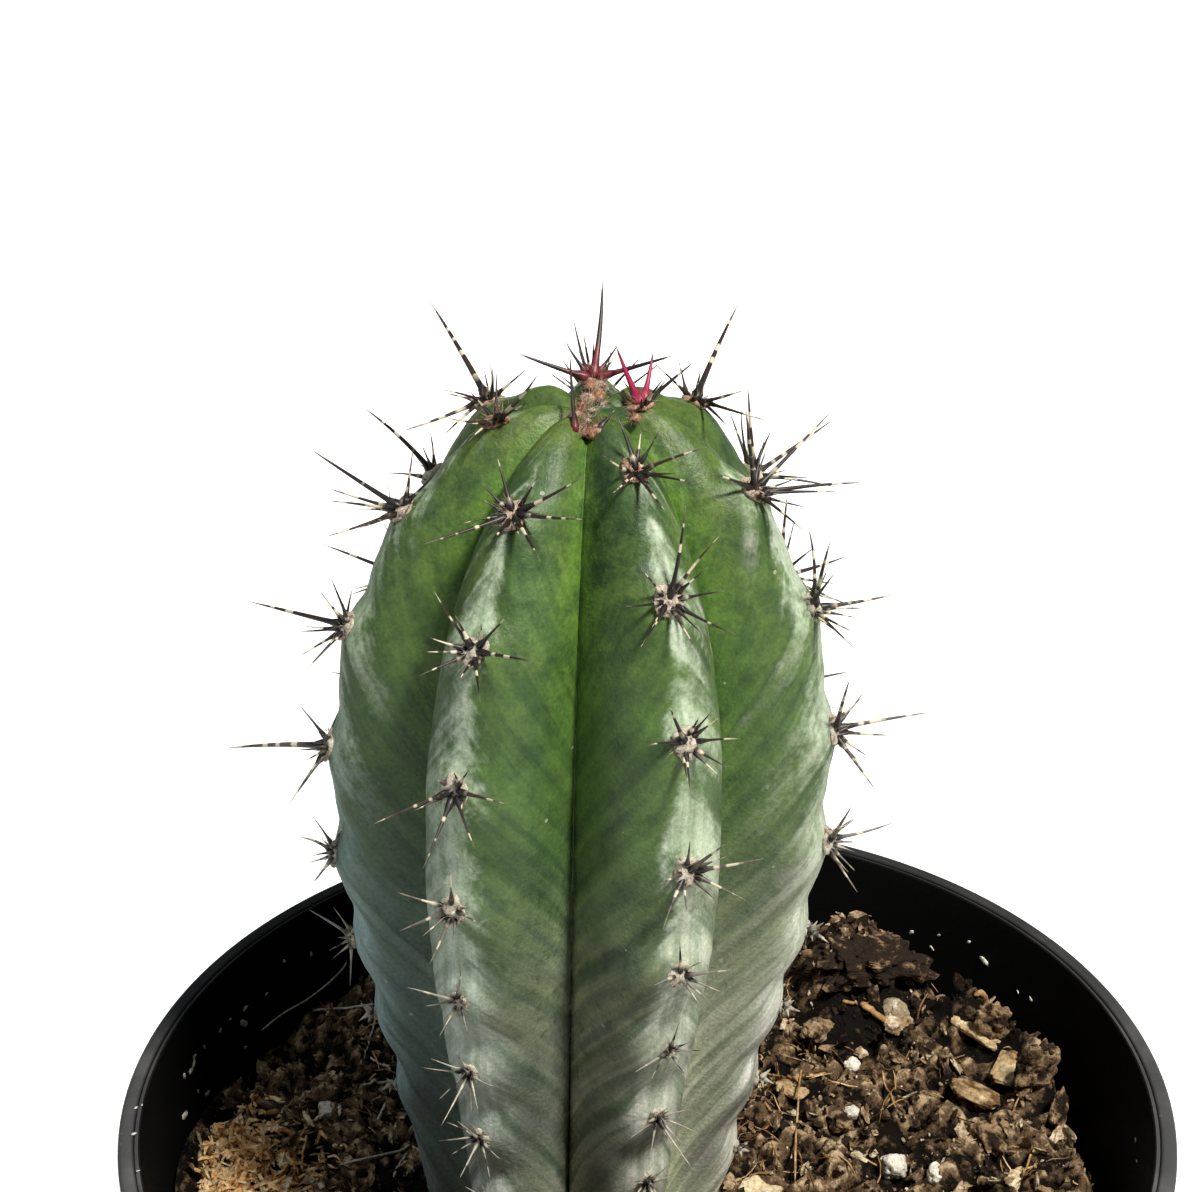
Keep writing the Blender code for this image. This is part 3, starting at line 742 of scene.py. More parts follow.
spine = {
    "central": ((0, 8.5), (12, 11), (60, 8), (100, 4)),
    "radial": ((0, 3.5), (12, 6.2), (60, 4.4), (100, 2.7)),
    "radius": {"central": 0.29, "radial": 0.2},
    "youngThickness": 1.75,
    "sunk": 0.5,
    "steps": 11,
    "stepCrowding": 1.2,
    "sides": 7,
    "taper": (0.72, 0.93, 0.07),
    "bulb": (0.9, 0.75, 0.6),
    "bow": 0.015,
    "fineTip": 0.05,
    "rise": 0.42,
    # Spines of the photograph: distance of the foot from the pad's middle in its half widths, and the least
    # and most that their length changes their thickness
    "foot": {"central": 0.3, "radial": 0.72},
    "thickening": (0.85, 1.25),
    # Small spines between those: a distance from the apex with their number above and below it, then turn
    # in quarter turns, rise, each with its spread, share of a radial's length, out and thickness
    "smallOnes": (60, 3, 2),
    "small": (0.3, 0.5, 0.5, 0.5, 0.55, 0.85, 0.72),
    # Central spines elsewhere: turn, rise and share of the length, the spread of each, out and thickness
    "centrals": ((0.15, 0.68, 0.82), (2.9, 1.2, 0.96)),
    "centralSpread": (1, 0.25, 0.24, 0.25, 1.35),
    # Number, spread of turn, rise and its spread, share of length and its spread, out and thickness
    "radials": (4, 0.5, 0.38, 0.3, 0.4, 0.7, 1),
    "extra": (4, 0.7, 0.3, 0.45, 0.72, 0.4, 0.8, 0.85),
    # Share of the length that is still crimson and how many spines are, by rib and count
    "fresh": {(4, 0): (0.82, 2), (6, 0): (0.36, 9)},
    # Areoles, by rib and count, whose spines are worn down to short stubs
    "worn": ((4, 5), (4, 6), (4, 7), (4, 8), (1, 6), (1, 7)),
    "wornShare": 0.3,
    # Search for a tip along a sight line: reach to each side, steps, usual rise and its spread
    "search": (13, 261, 0.6, 0.7),
    "bandSpread": 40,
    "ageing": (35, 50),
}

# Tips of the spines that the photograph shows, in its pixels, by rib and count from the crown
leftBack, left, frontLeft, frontRight, right, rightBack, back = range(7)
seenTips = {
    leftBack: (
        ((432, 305), (492, 368), (526, 369), (442, 390), (405, 430), (445, 434)),
        ((366, 410), (430, 432), (413, 452), (424, 484))),
    left: (
        ((536, 376), (448, 418), (470, 440), (529, 402), (497, 372)),
        ((315, 452), (331, 489), (329, 501), (328, 536), (413, 450), (357, 529), (438, 470)),
        ((255, 603), (331, 578), (320, 591), (300, 631), (300, 656), (306, 670), (352, 590)),
        ((232, 748), (300, 706), (290, 803), (306, 760), (338, 712)),
        ((302, 838), (313, 817), (312, 856), (313, 883), (345, 820)),
        ((311, 911), (334, 908), (350, 984), (330, 950))),
    frontLeft: (
        ((498, 460), (482, 483), (485, 501), (580, 478), (579, 519), (427, 543), (488, 544), (539, 559)),
        ((456, 617), (508, 616), (531, 661), (421, 675), (436, 594), (431, 638), (480, 700)),
        ((378, 822), (424, 866), (502, 803), (438, 781), (469, 770), (474, 846)),
        ((402, 930), (430, 963), (400, 893), (480, 925), (450, 870)),
        ((410, 988), (478, 1008), (426, 1006), (440, 1035), (462, 965))),
    frontRight: (
        ((618, 419), (641, 430), (604, 456), (704, 448), (695, 483), (614, 492), (663, 508)),
        ((685, 509), (717, 539), (642, 570), (724, 591), (627, 606), (733, 633), (642, 645), (695, 646)),
        ((671, 709), (699, 717), (717, 719), (650, 745), (739, 739), (726, 767), (690, 790)),
        ((724, 845), (760, 859), (660, 884), (745, 900), (664, 927), (690, 840)),
        ((732, 970), (719, 991), (708, 999), (655, 985), (680, 940)),
        ((637, 1071), (702, 1050), (652, 1078), (680, 1020))),
    right: (
        ((617, 348), (653, 353), (663, 380), (693, 363), (613, 386)),
        ((746, 410), (714, 474), (829, 414), (765, 438), (861, 483), (836, 492), (805, 507), (804, 531)),
        ((830, 543), (834, 574), (891, 595), (863, 608), (851, 631), (853, 647), (808, 528)),
        ((849, 682), (863, 692), (926, 713), (888, 735), (867, 756), (874, 788)),
        ((851, 807), (855, 819), (891, 823), (859, 842), (854, 870), (856, 890))),
    rightBack: (
        ((737, 307), (743, 390), (765, 420), (726, 425), (655, 364), (700, 372)),),
    back: (
        ((602, 283), (520, 354), (671, 356), (566, 342), (579, 350), (593, 342), (617, 346)),),
}


def areoleFrame(rib, arc):
    # Place of an areole with its sideways, upward and outward directions
    here, above = stemSurface(np.array([arc, arc - 1]), rib, np.array([0, 0]))
    sideways = np.array([math.cos(ribTurn(rib)), math.sin(ribTurn(rib)), 0])
    outward = unit(np.cross(sideways, above - here))
    return here, sideways, np.cross(outward, sideways), outward


def lowShrinking(arc):
    most, start, change = areole["shrinking"]
    return 1 - most * float(easeFrom(arc, start, change))


def padScale(arc):
    small, change = felt["youngScale"]
    return (small + (1 - small) * float(ease(arc / change))) * lowShrinking(arc)


def youngShare(arc):
    # How brown the wool still is, from nearly all near the crown to none further down
    most, start, change = areole["brown"]
    return float(1 - easeFrom(arc, start, change)) * most


def makePads(material):
    # Each pad is a dome over an ellipse, its height roughened by noise
    turns = roundTurns(felt["columns"])
    falls = np.linspace(0, math.pi * felt["roundness"], felt["rows"] + 1)[1:, None]
    flat = np.sin(falls)
    dome = np.stack([flat * np.cos(turns), flat * np.sin(turns), np.cos(falls) + 0 * flat * turns], axis=-1)
    dome = np.concatenate([dome.reshape(-1, 3), [[0, 0, 1]], [[0, 0, np.cos(falls[-1, 0])]]])
    height, *pattern = felt["bumps"]
    allPoints, young = [], []
    for rib, count, arc in areoles:
        here, *axes = areoleFrame(rib, arc)
        share = felt["wornShare"] if (rib, count) in spine["worn"] else 1
        grid = dome * (np.array(felt["halfSize"]) * padScale(arc) * share)
        placed = here + grid @ np.stack(axes)
        bumps = height * roughNoise(placed, *pattern)[:, None]
        allPoints.append(placed + bumps * unit(grid) @ np.stack(axes))
        young.append(np.full(len(placed), youngShare(arc)))
    faces = repeatFaces(closedFaces(felt["rows"], felt["columns"]), len(dome), len(allPoints))
    newPiece("areole_felt", np.concatenate(allPoints), faces, material,
             marks={"young": np.concatenate(young)})


def bentLines(roots, way, bend, long, steps):
    # Lines of even steps from their roots along a way, bent by the square of the distance along them
    t = np.linspace(0, 1, steps)[None, :, None]
    return roots[:, None] + way[:, None] * long * t + bend * long * t * t


def makeHairs(material, random):
    # Short hairs that lean outwards from each pad, longer and browner near the crown
    lines, young = [], []
    steps, sides = len(felt["hairTaper"]), felt["hairSides"]
    flatness, disorder = felt["hairLean"]
    for rib, count, arc in areoles:
        here, *axes = areoleFrame(rib, arc)
        size = np.array(felt["halfSize"]) * padScale(arc)
        fresh = youngShare(arc)
        number = felt["wornHairs" if (rib, count) in spine["worn"] else "hairs"]
        turn = random.uniform(0, 2 * math.pi, number)
        spread = np.sqrt(random.uniform(0, 1, number))
        lift = np.sqrt(np.maximum(1 - spread ** 2, 0))
        flat = np.stack([np.cos(turn) * spread, np.sin(turn) * spread, lift], axis=-1)
        root = flat * size * felt["hairFoot"]
        way = unit(flat * [1, 1, flatness] + random.normal(0, disorder, (number, 3)))
        long = random.uniform(*felt["hairLength"], number) * (1 + felt["youngLength"] * fresh)
        bend = random.normal(0, felt["hairBend"], (number, 3))
        line = bentLines(root, way, bend[:, None], long[:, None, None], steps)
        lines.append(here + line @ np.stack(axes))
        young.append(np.full((number, steps), fresh))
    lines, young = np.concatenate(lines), np.concatenate(young)
    radii = felt["hairRadius"] * np.array(felt["hairTaper"]) * np.ones((len(lines), 1))
    points, faces = tubes(lines, radii, sides)
    newPiece("areole_hairs", points, faces, material,
             marks={"young": alongTubes(young, sides)})


def seenTip(root, outward, pixel, usual):
    # Point on a pixel's sight line whose length and rise from the skin are nearest the usual ones
    reachOut, steps, usualRise, spread = spine["search"]
    start, way = sightLine(pixel)
    along = (root - start) @ way + np.linspace(-reachOut, reachOut, steps)
    tips = start + along[:, None] * way
    reach = tips - root
    long = np.linalg.norm(reach, axis=1)
    rise = np.arcsin(np.clip(reach @ outward / long, -1, 1))
    wrong = ((long - usual) / usual) ** 2 + ((rise - usualRise) / spread) ** 2
    return tips[np.argmin(wrong)]


def seenSpines(rib, count, here, outward, usual, scale):
    # Foot, tip and radius of each spine whose tip the photograph shows, a central one first
    planned = []
    for place, pixel in enumerate(seenTips[rib][count]):
        kind = "radial" if place else "central"
        tip = seenTip(here, outward, pixel, usual[kind])
        flat = unit((tip - here) - ((tip - here) @ outward) * outward)
        root = here + flat * felt["halfSize"][0] * spine["foot"][kind] * scale
        root = root + outward * spine["rise"] * scale
        longer = float(np.clip(np.linalg.norm(tip - root) / usual[kind], *spine["thickening"]))
        planned.append((root, tip, spine["radius"][kind] * longer))
    return planned


def smallSpines(rib, count, arc, radial):
    # Turn, rise, length, distance out and thickness of the small spines between those
    border, above, below = spine["smallOnes"]
    offset, spread, least, more, share, *placing = spine["small"]
    planned = []
    for place in range(above if arc < border else below):
        turn = (place + offset + spread * scatter(rib, count * 5 + place)) * math.pi / 2
        rise = least + more * scatter(count + 1, rib * 3 + place)
        planned.append((turn, rise, share * radial, *placing))
    return planned


def ruledSpines(rib, count, usual):
    # The same where the photograph shows no tips: the centrals, then the radials
    planned = []
    turning, rising, lengthening, *placing = spine["centralSpread"]
    for place, (turn, rise, share) in enumerate(spine["centrals"]):
        turn += turning * (scatter(rib + 3, count + 7 * place) - 0.5)
        rise += rising * (scatter(count + 5, rib + place) - 0.5)
        long = usual["central"] * share * (1 + lengthening * (scatter(rib * 3 + place, count) - 0.5))
        planned.append((turn, rise, long, *placing))
    number, turning, least, more, lengthening, *placing = spine["radials"]
    for place in range(number):
        turn = (place + 0.5) * math.pi / 2 + turning * (scatter(rib, count * 5 + place) - 0.5)
        rise = least + more * scatter(count, rib * 5 + place)
        long = usual["radial"] * (1 + lengthening * (scatter(rib * 7 + place, count * 3) - 0.5))
        planned.append((turn, rise, long, *placing))
    return planned


def extraSpines(rib, count, radial):
    # The same for the smaller spines between the radials
    planned = []
    number, turning, least, more, shortest, longer, *placing = spine["extra"]
    for place in range(number):
        turn = place * math.pi / 2 + turning * (scatter(rib + 2, count * 3 + place) - 0.5)
        rise = least + more * scatter(count + 4, rib * 2 + place)
        long = radial * (shortest + longer * scatter(rib * 4 + place, count * 2))
        planned.append((turn, rise, long, *placing))
    return planned


def rosette(rib, count, arc):
    # Root, tip, radius, crimson share and distance from the apex for each spine of an areole
    here, sideways, upward, outward = areoleFrame(rib, arc)
    usual = {kind: float(smoothCurve(spine[kind], arc)) for kind in ("central", "radial")}
    scale = padScale(arc)
    fresh, freshOnes = spine["fresh"].get((rib, count), (0, 0))
    isWorn = (rib, count) in spine["worn"]
    planned = []
    if count < len(seenTips[rib]):
        planned = seenSpines(rib, count, here, outward, usual, scale)
        ruled = smallSpines(rib, count, arc, usual["radial"])
    else:
        ruled = ruledSpines(rib, count, usual) + ([] if isWorn else extraSpines(rib, count, usual["radial"]))
    slim = 1 if isWorn else lowShrinking(arc)
    for turn, rise, long, out, thickness in ruled:
        flat = sideways * math.sin(turn) + upward * math.cos(turn)
        way = flat * math.cos(rise) + outward * math.sin(rise)
        if isWorn:
            root = here + outward * spine["rise"]
            tip = root + long * spine["wornShare"] * way
        else:
            root = here + flat * felt["halfSize"][0] * out * scale + outward * spine["rise"]
            tip = root + way * long
        planned.append((root, tip, spine["radius"]["radial"] * thickness))
    return [(root, tip, thick * slim, fresh if place < freshOnes else 0, arc)
            for place, (root, tip, thick) in enumerate(planned)]


def crownPoint(pixel, level):
    # Where the sight line through a pixel passes a level near the apex
    start, way = sightLine(pixel)
    return start + way * (level - start[2]) / way[2]


def crownSpines():
    # Small spines round the apex, between the places that two pixels show
    planned = []
    for rootPixel, tipPixel, long, fresh in crownWool["spines"]:
        root = crownPoint(rootPixel, crownWool["level"])
        tip = seenTip(root, np.array([0, 0, 1]), tipPixel, long)
        planned.append((root, tip, crownWool["spineRadius"], fresh, 0))
    return planned


def makeSpines(material, random):
    # Tapered tubes with a bulb at the root and a slight bow: radius falls with a power of what is left
    every = [one for rib, count, arc in areoles for one in rosette(rib, count, arc)] + crownSpines()
    roots, tips, thick, fresh, arc = (np.array(column) for column in zip(*every))
    way = unit(tips - roots)
    starts = roots - way * spine["sunk"]
    tips = tips + (tips - roots) * spine["fineTip"]
    t = np.linspace(0, 1, spine["steps"]) ** spine["stepCrowding"]
    long = np.linalg.norm(tips - starts, axis=1)
    bow = np.cross(way, random.normal(0, 1, way.shape)) * spine["bow"] * long[:, None]
    lines = starts[:, None] + (tips - starts)[:, None] * t[:, None]
    lines = lines + bow[:, None] * (4 * t * (1 - t))[:, None]
    fromRoot = long[:, None] * t
    power, share, least = spine["taper"]
    radii = (thick * (1 + (spine["youngThickness"] - 1) * fresh))[:, None]
    radii = radii * ((1 - t) ** power * share + least)
    thicker, middle, reach = spine["bulb"]
    radii = radii * (1 + thicker * bell((fromRoot - middle) / reach))
    points, faces = tubes(lines, radii, spine["sides"])
    number = np.arange(len(long))
    marks = {
        "along": t,
        "bandWay": fromRoot + spine["bandSpread"] * scatter(number, 3)[:, None],
        "fresh": fresh[:, None],
        "age": easeFrom(arc, *spine["ageing"])[:, None],
        "tone": scatter(number, 8)[:, None],
    }
    for name, values in marks.items():
        marks[name] = alongTubes(np.broadcast_to(values, fromRoot.shape), spine["sides"])
    newPiece("spines", points, faces, material, marks=marks)


crownWool = {
    # Pixel of the photograph, height, half width, half height and brownness of each lump of wool
    "lumps": (
        ((592, 388), 171.2, 0.75, 0.6, 0.9), ((600, 389), 171.2, 0.7, 0.6, 0.55),
        ((596, 396), 170.9, 0.7, 0.5, 1), ((587, 400), 170.8, 0.6, 0.5, 0.5),
        ((581, 408), 170.7, 0.65, 0.5, 1), ((602, 404), 170.7, 0.4, 0.4, 0.5),
        ((592, 410), 170.7, 0.45, 0.4, 0.3), ((576, 417), 170.7, 0.65, 0.5, 0.75),
        ((574, 425), 170.5, 0.65, 0.5, 1), ((582, 430), 170.4, 0.7, 0.5, 0.6),
        ((590, 433), 170.4, 0.65, 0.5, 1), ((598, 430), 170.5, 0.6, 0.4, 0.55),
        ((605, 426), 170.7, 0.45, 0.4, 1), ((588, 421), 170.6, 0.5, 0.4, 0.4),
        ((634, 419), 171.2, 0.5, 0.4, 0.9)),
    "level": 170.9,
    "roughness": (0.8, 0.7, 3, 21),
    "hairs": 45,
    "hairSteps": 5,
    "hairFoot": 0.85,
    "hairCurl": 0.4,
    "hairLength": (0.3, 1.1),
    "hairRadius": 0.03,
    "hairTip": 0.2,
    # The hairs' ways are random, flattened and then raised by these
    "hairWays": ((1, 1, 0.6), (0, 0, 0.7)),
    # Small spines round the apex: pixels of root and tip, length and crimson share
    "spines": (((575, 427), (570, 356), 6.6, 0.12), ((601, 427), (614, 411), 2.2, 0.12)),
    "spineRadius": 0.22,
}


def makeCrownWool(material, random):
    # Rough lumps round the apex where the youngest areoles open, each with its own brown hairs
    shape, shapeFaces = ballShape(2)
    lumps, lines, browns = [], [], []
    height, *pattern = crownWool["roughness"]
    number, steps = crownWool["hairs"], crownWool["hairSteps"]
    for pixel, level, wide, tall, brown in crownWool["lumps"]:
        browns.append(brown)
        half = [wide, wide, tall]
        middle = crownPoint(pixel, level)
        rough = 1 + height * roughNoise(shape * half + middle, *pattern)[:, None]
        lumps.append(middle + shape * rough * half)
        flattened, raised = crownWool["hairWays"]
        way = unit(random.normal(0, 1, (number, 3)) * flattened + raised)
        root = middle + way * half * crownWool["hairFoot"]
        long = random.uniform(*crownWool["hairLength"], (number, 1, 1))
        curl = random.normal(0, crownWool["hairCurl"], (number, 1, 3))
        lines.append(bentLines(root, way, curl, long, steps))
    faces = repeatFaces([shapeFaces], len(shape), len(lumps))
    newPiece("crown_wool", np.concatenate(lumps), faces, material,
             marks={"young": np.repeat(browns, len(shape))})
    lines = np.concatenate(lines)
    young = alongTubes(np.repeat(browns, number)[:, None] * np.ones(steps), 3)
    taper = np.linspace(1, crownWool["hairTip"], steps)
    points, faces = tubes(lines, crownWool["hairRadius"] * taper * np.ones((len(lines), 1)), 3)
    newPiece("crown_hairs", points, faces, material, marks={"young": young})


# Shader groups that several materials share

earth = {
    # Octaves and roughness of the coarse noise, and scale, octaves and roughness of the fine
    "coarse": (4, 0.65),
    "fine": (4.3, 3, 0.7),
    # Ends between which the middle colour comes in, and then the light one
    "middle": (0.35, 0.55),
    "light": (0.55, 0.78),
    "shade": (0.28, 0.62),
    "dimming": 0.5,
    "fineHeight": 0.5,
}


def makeEarthTones():
    # Mottled colour: coarse noise picks dark, middle or light, fine noise shades it
    tree, given, result = newGroup("earthTones", {
        "Vector": "vector", "Scale": "value", "Dark": "colour", "Middle": "colour", "Light": "colour",
        "Tone": "value"}, {"Color": "colour", "Height": "value"})
    coarse = grain(given["Vector"], given["Scale"], *earth["coarse"])
    fine = grain(given["Vector"], times(given["Scale"], earth["fine"][0]), *earth["fine"][1:])
    level = sums("ADD", coarse, given["Tone"])
    colour = twoTone(level, *earth["middle"], given["Dark"], given["Middle"])
    colour = twoTone(level, *earth["light"], colour, given["Light"])
    dimmed = blend(earth["dimming"], colour, (0, 0, 0))
    join(result["Color"], twoTone(fine, *earth["shade"], dimmed, colour))
    join(result["Height"], timesPlus(fine, earth["fineHeight"], coarse))
    return tree


def makeSpots():
    # Mask of small scattered spots: the near part of each cell, in the share of cells with a low number
    tree, given, result = newGroup("spots", {
        "Vector": "vector", "Scale": "value", "Size": "value", "Share": "value"}, {"Mask": "value"})
    cells = put("TexVoronoi", {"Vector": given["Vector"], "Scale": given["Scale"]})
    spot = sums("LESS_THAN", cells.outputs["Distance"], given["Size"])
    number = put("SeparateColor", {"Color": cells.outputs["Color"]}).outputs[0]
    join(result["Mask"], times(spot, sums("LESS_THAN", number, given["Share"])))
    return tree


earthTones = makeEarthTones()
spots = makeSpots()


def objectPlace():
    return put("TexCoord").outputs["Object"]


def scaled(vector, factors):
    return put("VectorMath", {0: vector, 1: factors}, operation="MULTIPLY").outputs[0]


# Materials

# Colours are shares of red, green and blue. A range is a value's name and the two ends between which the
# layer comes in. A factor is a colour that multiplies what lies under it.
skin = {
    # Noise patterns: how they are stretched along the falling lines, or None for the plain place, then
    # scale, octaves and roughness
    "patterns": {
        "feather": ((0.42, 0.11, 0.11), 1, 3, 0.55), "broad": ((0.2, 0.06, 0.06), 1, 3, 0.5),
        "streaked": ((0.46, 0.15, 0.15), 1, 3, 0.55), "strand": ((0.07, 1.5, 1.5), 1, 3, 0.6),
        "cloud": (None, 130, 3, 0.55), "mottle": (None, 520, 5, 0.68),
        "fine": (None, 2600, 3, 0.6), "speckle": (None, 290, 6, 0.72)},
    "streakShare": (0.16, 0.42, 0.6),
    "low": (0.46, 0.8),
    # Green skin from the lowest layer up: colour, share and ranges
    "green": (
        (0.094, 0.15, 0.031),
        ((0.078, 0.146, 0.04), 1, (("fromApex", 0.05, 0.45),)),
        ((0.054, 0.108, 0.031), 1, (("cloud", 0.35, 0.7),)),
        ((0.235, 0.255, 0.175), 1, (("fromApex", 0.46, 0.8),)),
        ((0.09, 0.195, 0.026), 0.7, (("across", 0.55, 0.97), ("fromApex", 0.62, 0.25))),
        ((0.04, 0.085, 0.024), 0.6, (("mottle", 0.5, 0.68),))),
    # Grey bloom in the same way
    "grey": (
        (0.37, 0.46, 0.31),
        ((0.66, 0.68, 0.58), 1, (("fromApex", 0.35, 0.85),)),
        ((0.45, 0.5, 0.41), 1, (("cloud", 0.45, 0.8),)),
        ((0.2, 0.25, 0.15), 0.65, (("feather", 0.6, 0.36), ("across", 0.04, 0.35)))),
    # Two factors or colours by the ends of a pattern
    "strands": (0.36, 0.62, (0.62, 0.7, 0.6), (1.18, 1.16, 1.2)),
    "strandShare": (0.5, 0.1, 0.75),
    "dull": (0.42, 0.62, (0.21, 0.255, 0.155), (0.215, 0.225, 0.175)),
    "dullShare": 0.78,
    "blotches": (0.36, 0.62, (0.52, 0.58, 0.66), (1.28, 1.2, 1.12)),
    "blotchShare": 0.85,
    "plumes": (0.4, 0.6, (0.66, 0.7, 0.66), (1.18, 1.15, 1.16)),
    "plumeShare": (0.26, 0.22),
    # Painted light in the patches, then the colour and share of the painted shade in them
    "paintedLightTones": (0.4, 0.62, (1.25, 1.22, 1.3), (1.62, 1.55, 1.7)),
    "paintedShadeColour": (0.36, 0.44, 0.42),
    "paintedShadeShare": (0.6, 0.4, -0.5, -0.75),
    "shades": (0.2, 0.8, (0.76, 0.76, 0.76), (1.16, 1.16, 1.16)),
    # How strongly each pattern tears the bloom's edge, and how much less low down or where bloom is thin
    "streaks": {"feather": 1.9, "broad": 0.9, "mottle": (0.9, 0.7, 1.6)},
    "streaksLow": -0.62,
    "streaksThin": (0, 0.45, 0.7, 0.3),
    "bloomRange": (0.12, 1.2),
    "calm": -0.75,
    "raggedness": (1.1, 0.55, 0.15, 0.85),
    "darkPlume": (0.54, 0.63, 0.54),
    # Over both: stains, painted shade on the left ribs, painted light in grooves and at the foot, a dark
    # painted-shade line in each groove, and dots
    "over": (
        ((0.175, 0.17, 0.15), 0.6, (("broad", 0.52, 0.64), ("fromApex", 0.66, 0.84))),
        # Painted shade: a cool, dark multiply on the ribs away from the key light
        ((0.53, 0.69, 0.84), 1, (("paintedRibShade",),), "MULTIPLY"),
        # Painted light: paler skin down the sides of the grooves, against the shade of the deep grooves
        ((1.6, 1.6, 1.6), 1, (("across", 0.6, 0.93), ("fromApex", 0.45, 0.85)), "MULTIPLY"),
        # Painted light: paler skin low on the stem, which the wider body above shades, except on the
        # painted-shade ribs
        ((1.35, 1.3, 1.3), 1, (("fromApex", 0.82, 1.1), ("outsideRibShade",)), "MULTIPLY"),
        # Painted shade: a thin dark line in the crease at the bottom of each groove
        ((0.01, 0.02, 0.008), 1, (("across", 0.972, 0.998), ("fromApex", 0.3, 0.85),
            ("mottle", 0.34, 0.52))),
        ((0.46, 0.46, 0.34), 0.6, (("dots",),))),
    "dots": {"Scale": 420, "Size": 0.09, "Share": 0.12},
    "roughness": (0.22, 0.46),
    "height": 0.3,
    "depth": 0.08,
    "shine": 0.34,
}


def layered(values, under, over, share, ranges, kind="MIX"):
    # A layer over a colour: its share times each value it follows, as it is or between two ends
    mask = None
    for name, *ends in ranges:
        part = between(values[name], *ends) if ends else values[name]
        mask = part if mask is None else times(mask, part)
    return blend(mask if share == 1 else times(mask, share), under, over, kind)


def allLayers(values, colour, *layers):
    for layer in layers:
        colour = layered(values, colour, *layer)
    return colour


def bloomShare(values, low):
    # Where the bloom lies: its mark with streaks of three patterns, calmer low down or where it is thin
    fromMiddle = {name: sums("SUBTRACT", values[name], 0.5) for name in skin["streaks"]}
    fall, least, strength = skin["streaks"]["mottle"]
    rough = timesPlus(sums("SUBTRACT", 1, low), fall, least)
    streaks = times(fromMiddle["feather"], skin["streaks"]["feather"])
    streaks = timesPlus(fromMiddle["broad"], skin["streaks"]["broad"], streaks)
    streaks = sums("ADD", streaks, times(fromMiddle["mottle"], times(rough, strength)))
    streaks = times(streaks, timesPlus(low, skin["streaksLow"], 1))
    start, end, gain, least = skin["streaksThin"]
    streaks = times(streaks, timesPlus(between(values["bloom"], start, end), gain, least))
    return between(sums("ADD", values["bloom"], streaks), *skin["bloomRange"])


def makeSkin():
    # Green skin under a grey bloom, then plumes, patches of painted light and shade, stains, painted shade on
    # the left ribs, painted light in the grooves and at the foot, and painted-shade dark lines in the grooves
    material, shader = newFinish("cactus_skin")
    place = objectPlace()
    way = mark("skinWay").outputs["Vector"]
    values = markValues("bloom", "across", "fromApex", "dull", "paintedRibShade", "plume", "paintedLightAndShade")
    for name, (stretch, scale, octaves, roughness) in skin["patterns"].items():
        vector = scaled(way, stretch) if stretch else place
        values[name] = grain(vector, scale, octaves, roughness)
    low = between(values["fromApex"], *skin["low"])
    start, end, most = skin["streakShare"]
    streakShare = times(between(values["fromApex"], start, end), most)
    blotch = put("Mix", {0: streakShare, 2: values["speckle"], 3: values["streaked"]},
                 data_type="FLOAT").outputs[0]

    green = allLayers(values, *skin["green"])
    green = blend(skin["blotchShare"], green, twoTone(blotch, *skin["blotches"]), "MULTIPLY")
    grey = allLayers(values, *skin["grey"])
    start, end, most = skin["strandShare"]
    strandShare = times(between(values["across"], start, end), most)
    grey = blend(strandShare, grey, twoTone(values["strand"], *skin["strands"]), "MULTIPLY")
    dulled = blend(skin["dullShare"], grey, twoTone(values["cloud"], *skin["dull"]))
    grey = blend(values["dull"], grey, dulled)
    share = bloomShare(values, low)
    colour = blend(share, green, grey)

    calm = timesPlus(values["paintedRibShade"], skin["calm"], 1)
    plumes = twoTone(values["feather"], *skin["plumes"])
    plumeShare = times(timesPlus(low, *skin["plumeShare"]), calm)
    colour = blend(plumeShare, colour, plumes, "MULTIPLY")
    strength, middle, start, end = skin["raggedness"]
    ragged = timesPlus(values["mottle"], strength, sums("SUBTRACT", values["plume"], middle))
    darkShare = times(between(ragged, start, end), times(values["plume"], calm))
    colour = blend(darkShare, colour, skin["darkPlume"], "MULTIPLY")
    # Patches of painted light, then of painted shade
    paintedLightTones = twoTone(values["feather"], *skin["paintedLightTones"])
    colour = blend(values["paintedLightAndShade"], colour, paintedLightTones, "MULTIPLY")
    start, end, gain, least = skin["paintedShadeShare"]
    paintedShadeShare = timesPlus(between(blotch, start, end), gain, least)
    paintedShadeShare = times(values["paintedLightAndShade"], paintedShadeShare)
    colour = blend(paintedShadeShare, colour, skin["paintedShadeColour"], "MULTIPLY")

    # Where no painted rib shade lies
    values["outsideRibShade"] = sums("SUBTRACT", 1, values["paintedRibShade"])
    values["dots"] = useGroup(spots, {"Vector": place, **skin["dots"]})["Mask"]
    colour = allLayers(values, colour, *skin["over"])
    colour = blend(1, colour, twoTone(values["fine"], *skin["shades"]), "MULTIPLY")
    height = timesPlus(values["feather"], skin["height"], values["fine"])
    roughness = timesPlus(share, *skin["roughness"])
    finishSurface(shader, colour, roughness, height, skin["depth"], skin["shine"])
    return material


banding = {
    "bands": {"Scale": 0.55, "Detail": 1, "Roughness": 0.5},
    "toneInBands": 0.14,
    "dark": ((0.012, 0.008, 0.007), (0.035, 0.018, 0.012)),
    # Layers from the lowest up: colour, share and ranges, for the dark spines, the crimson ones and both
    "old": (
        ((0.6, 0.53, 0.38), 1, (("level", 0.61, 0.67),)),
        ((0.26, 0.22, 0.16), 0.5, (("along", 0.7, 0.98),))),
    "crimson": (0.5, 0.8, (0.13, 0.016, 0.022), (0.3, 0.012, 0.055)),
    "young": (
        ((0.014, 0.008, 0.008), 1, (("pastCrimson", -0.12, 0.1),)),
        ((0.4, 0.3, 0.2), 1, (("along", 0.86, 0.97),))),
    "isFresh": (0, 0.1),
    "both": (
        ((0.46, 0.42, 0.34), 0.8, (("age",), ("level", 0.36, 0.5))),
        ((0.012, 0.009, 0.008), 1, (("along", 0.3, 0.14), ("fresh", 0.1, 0)))),
    "roughness": 0.45,
}


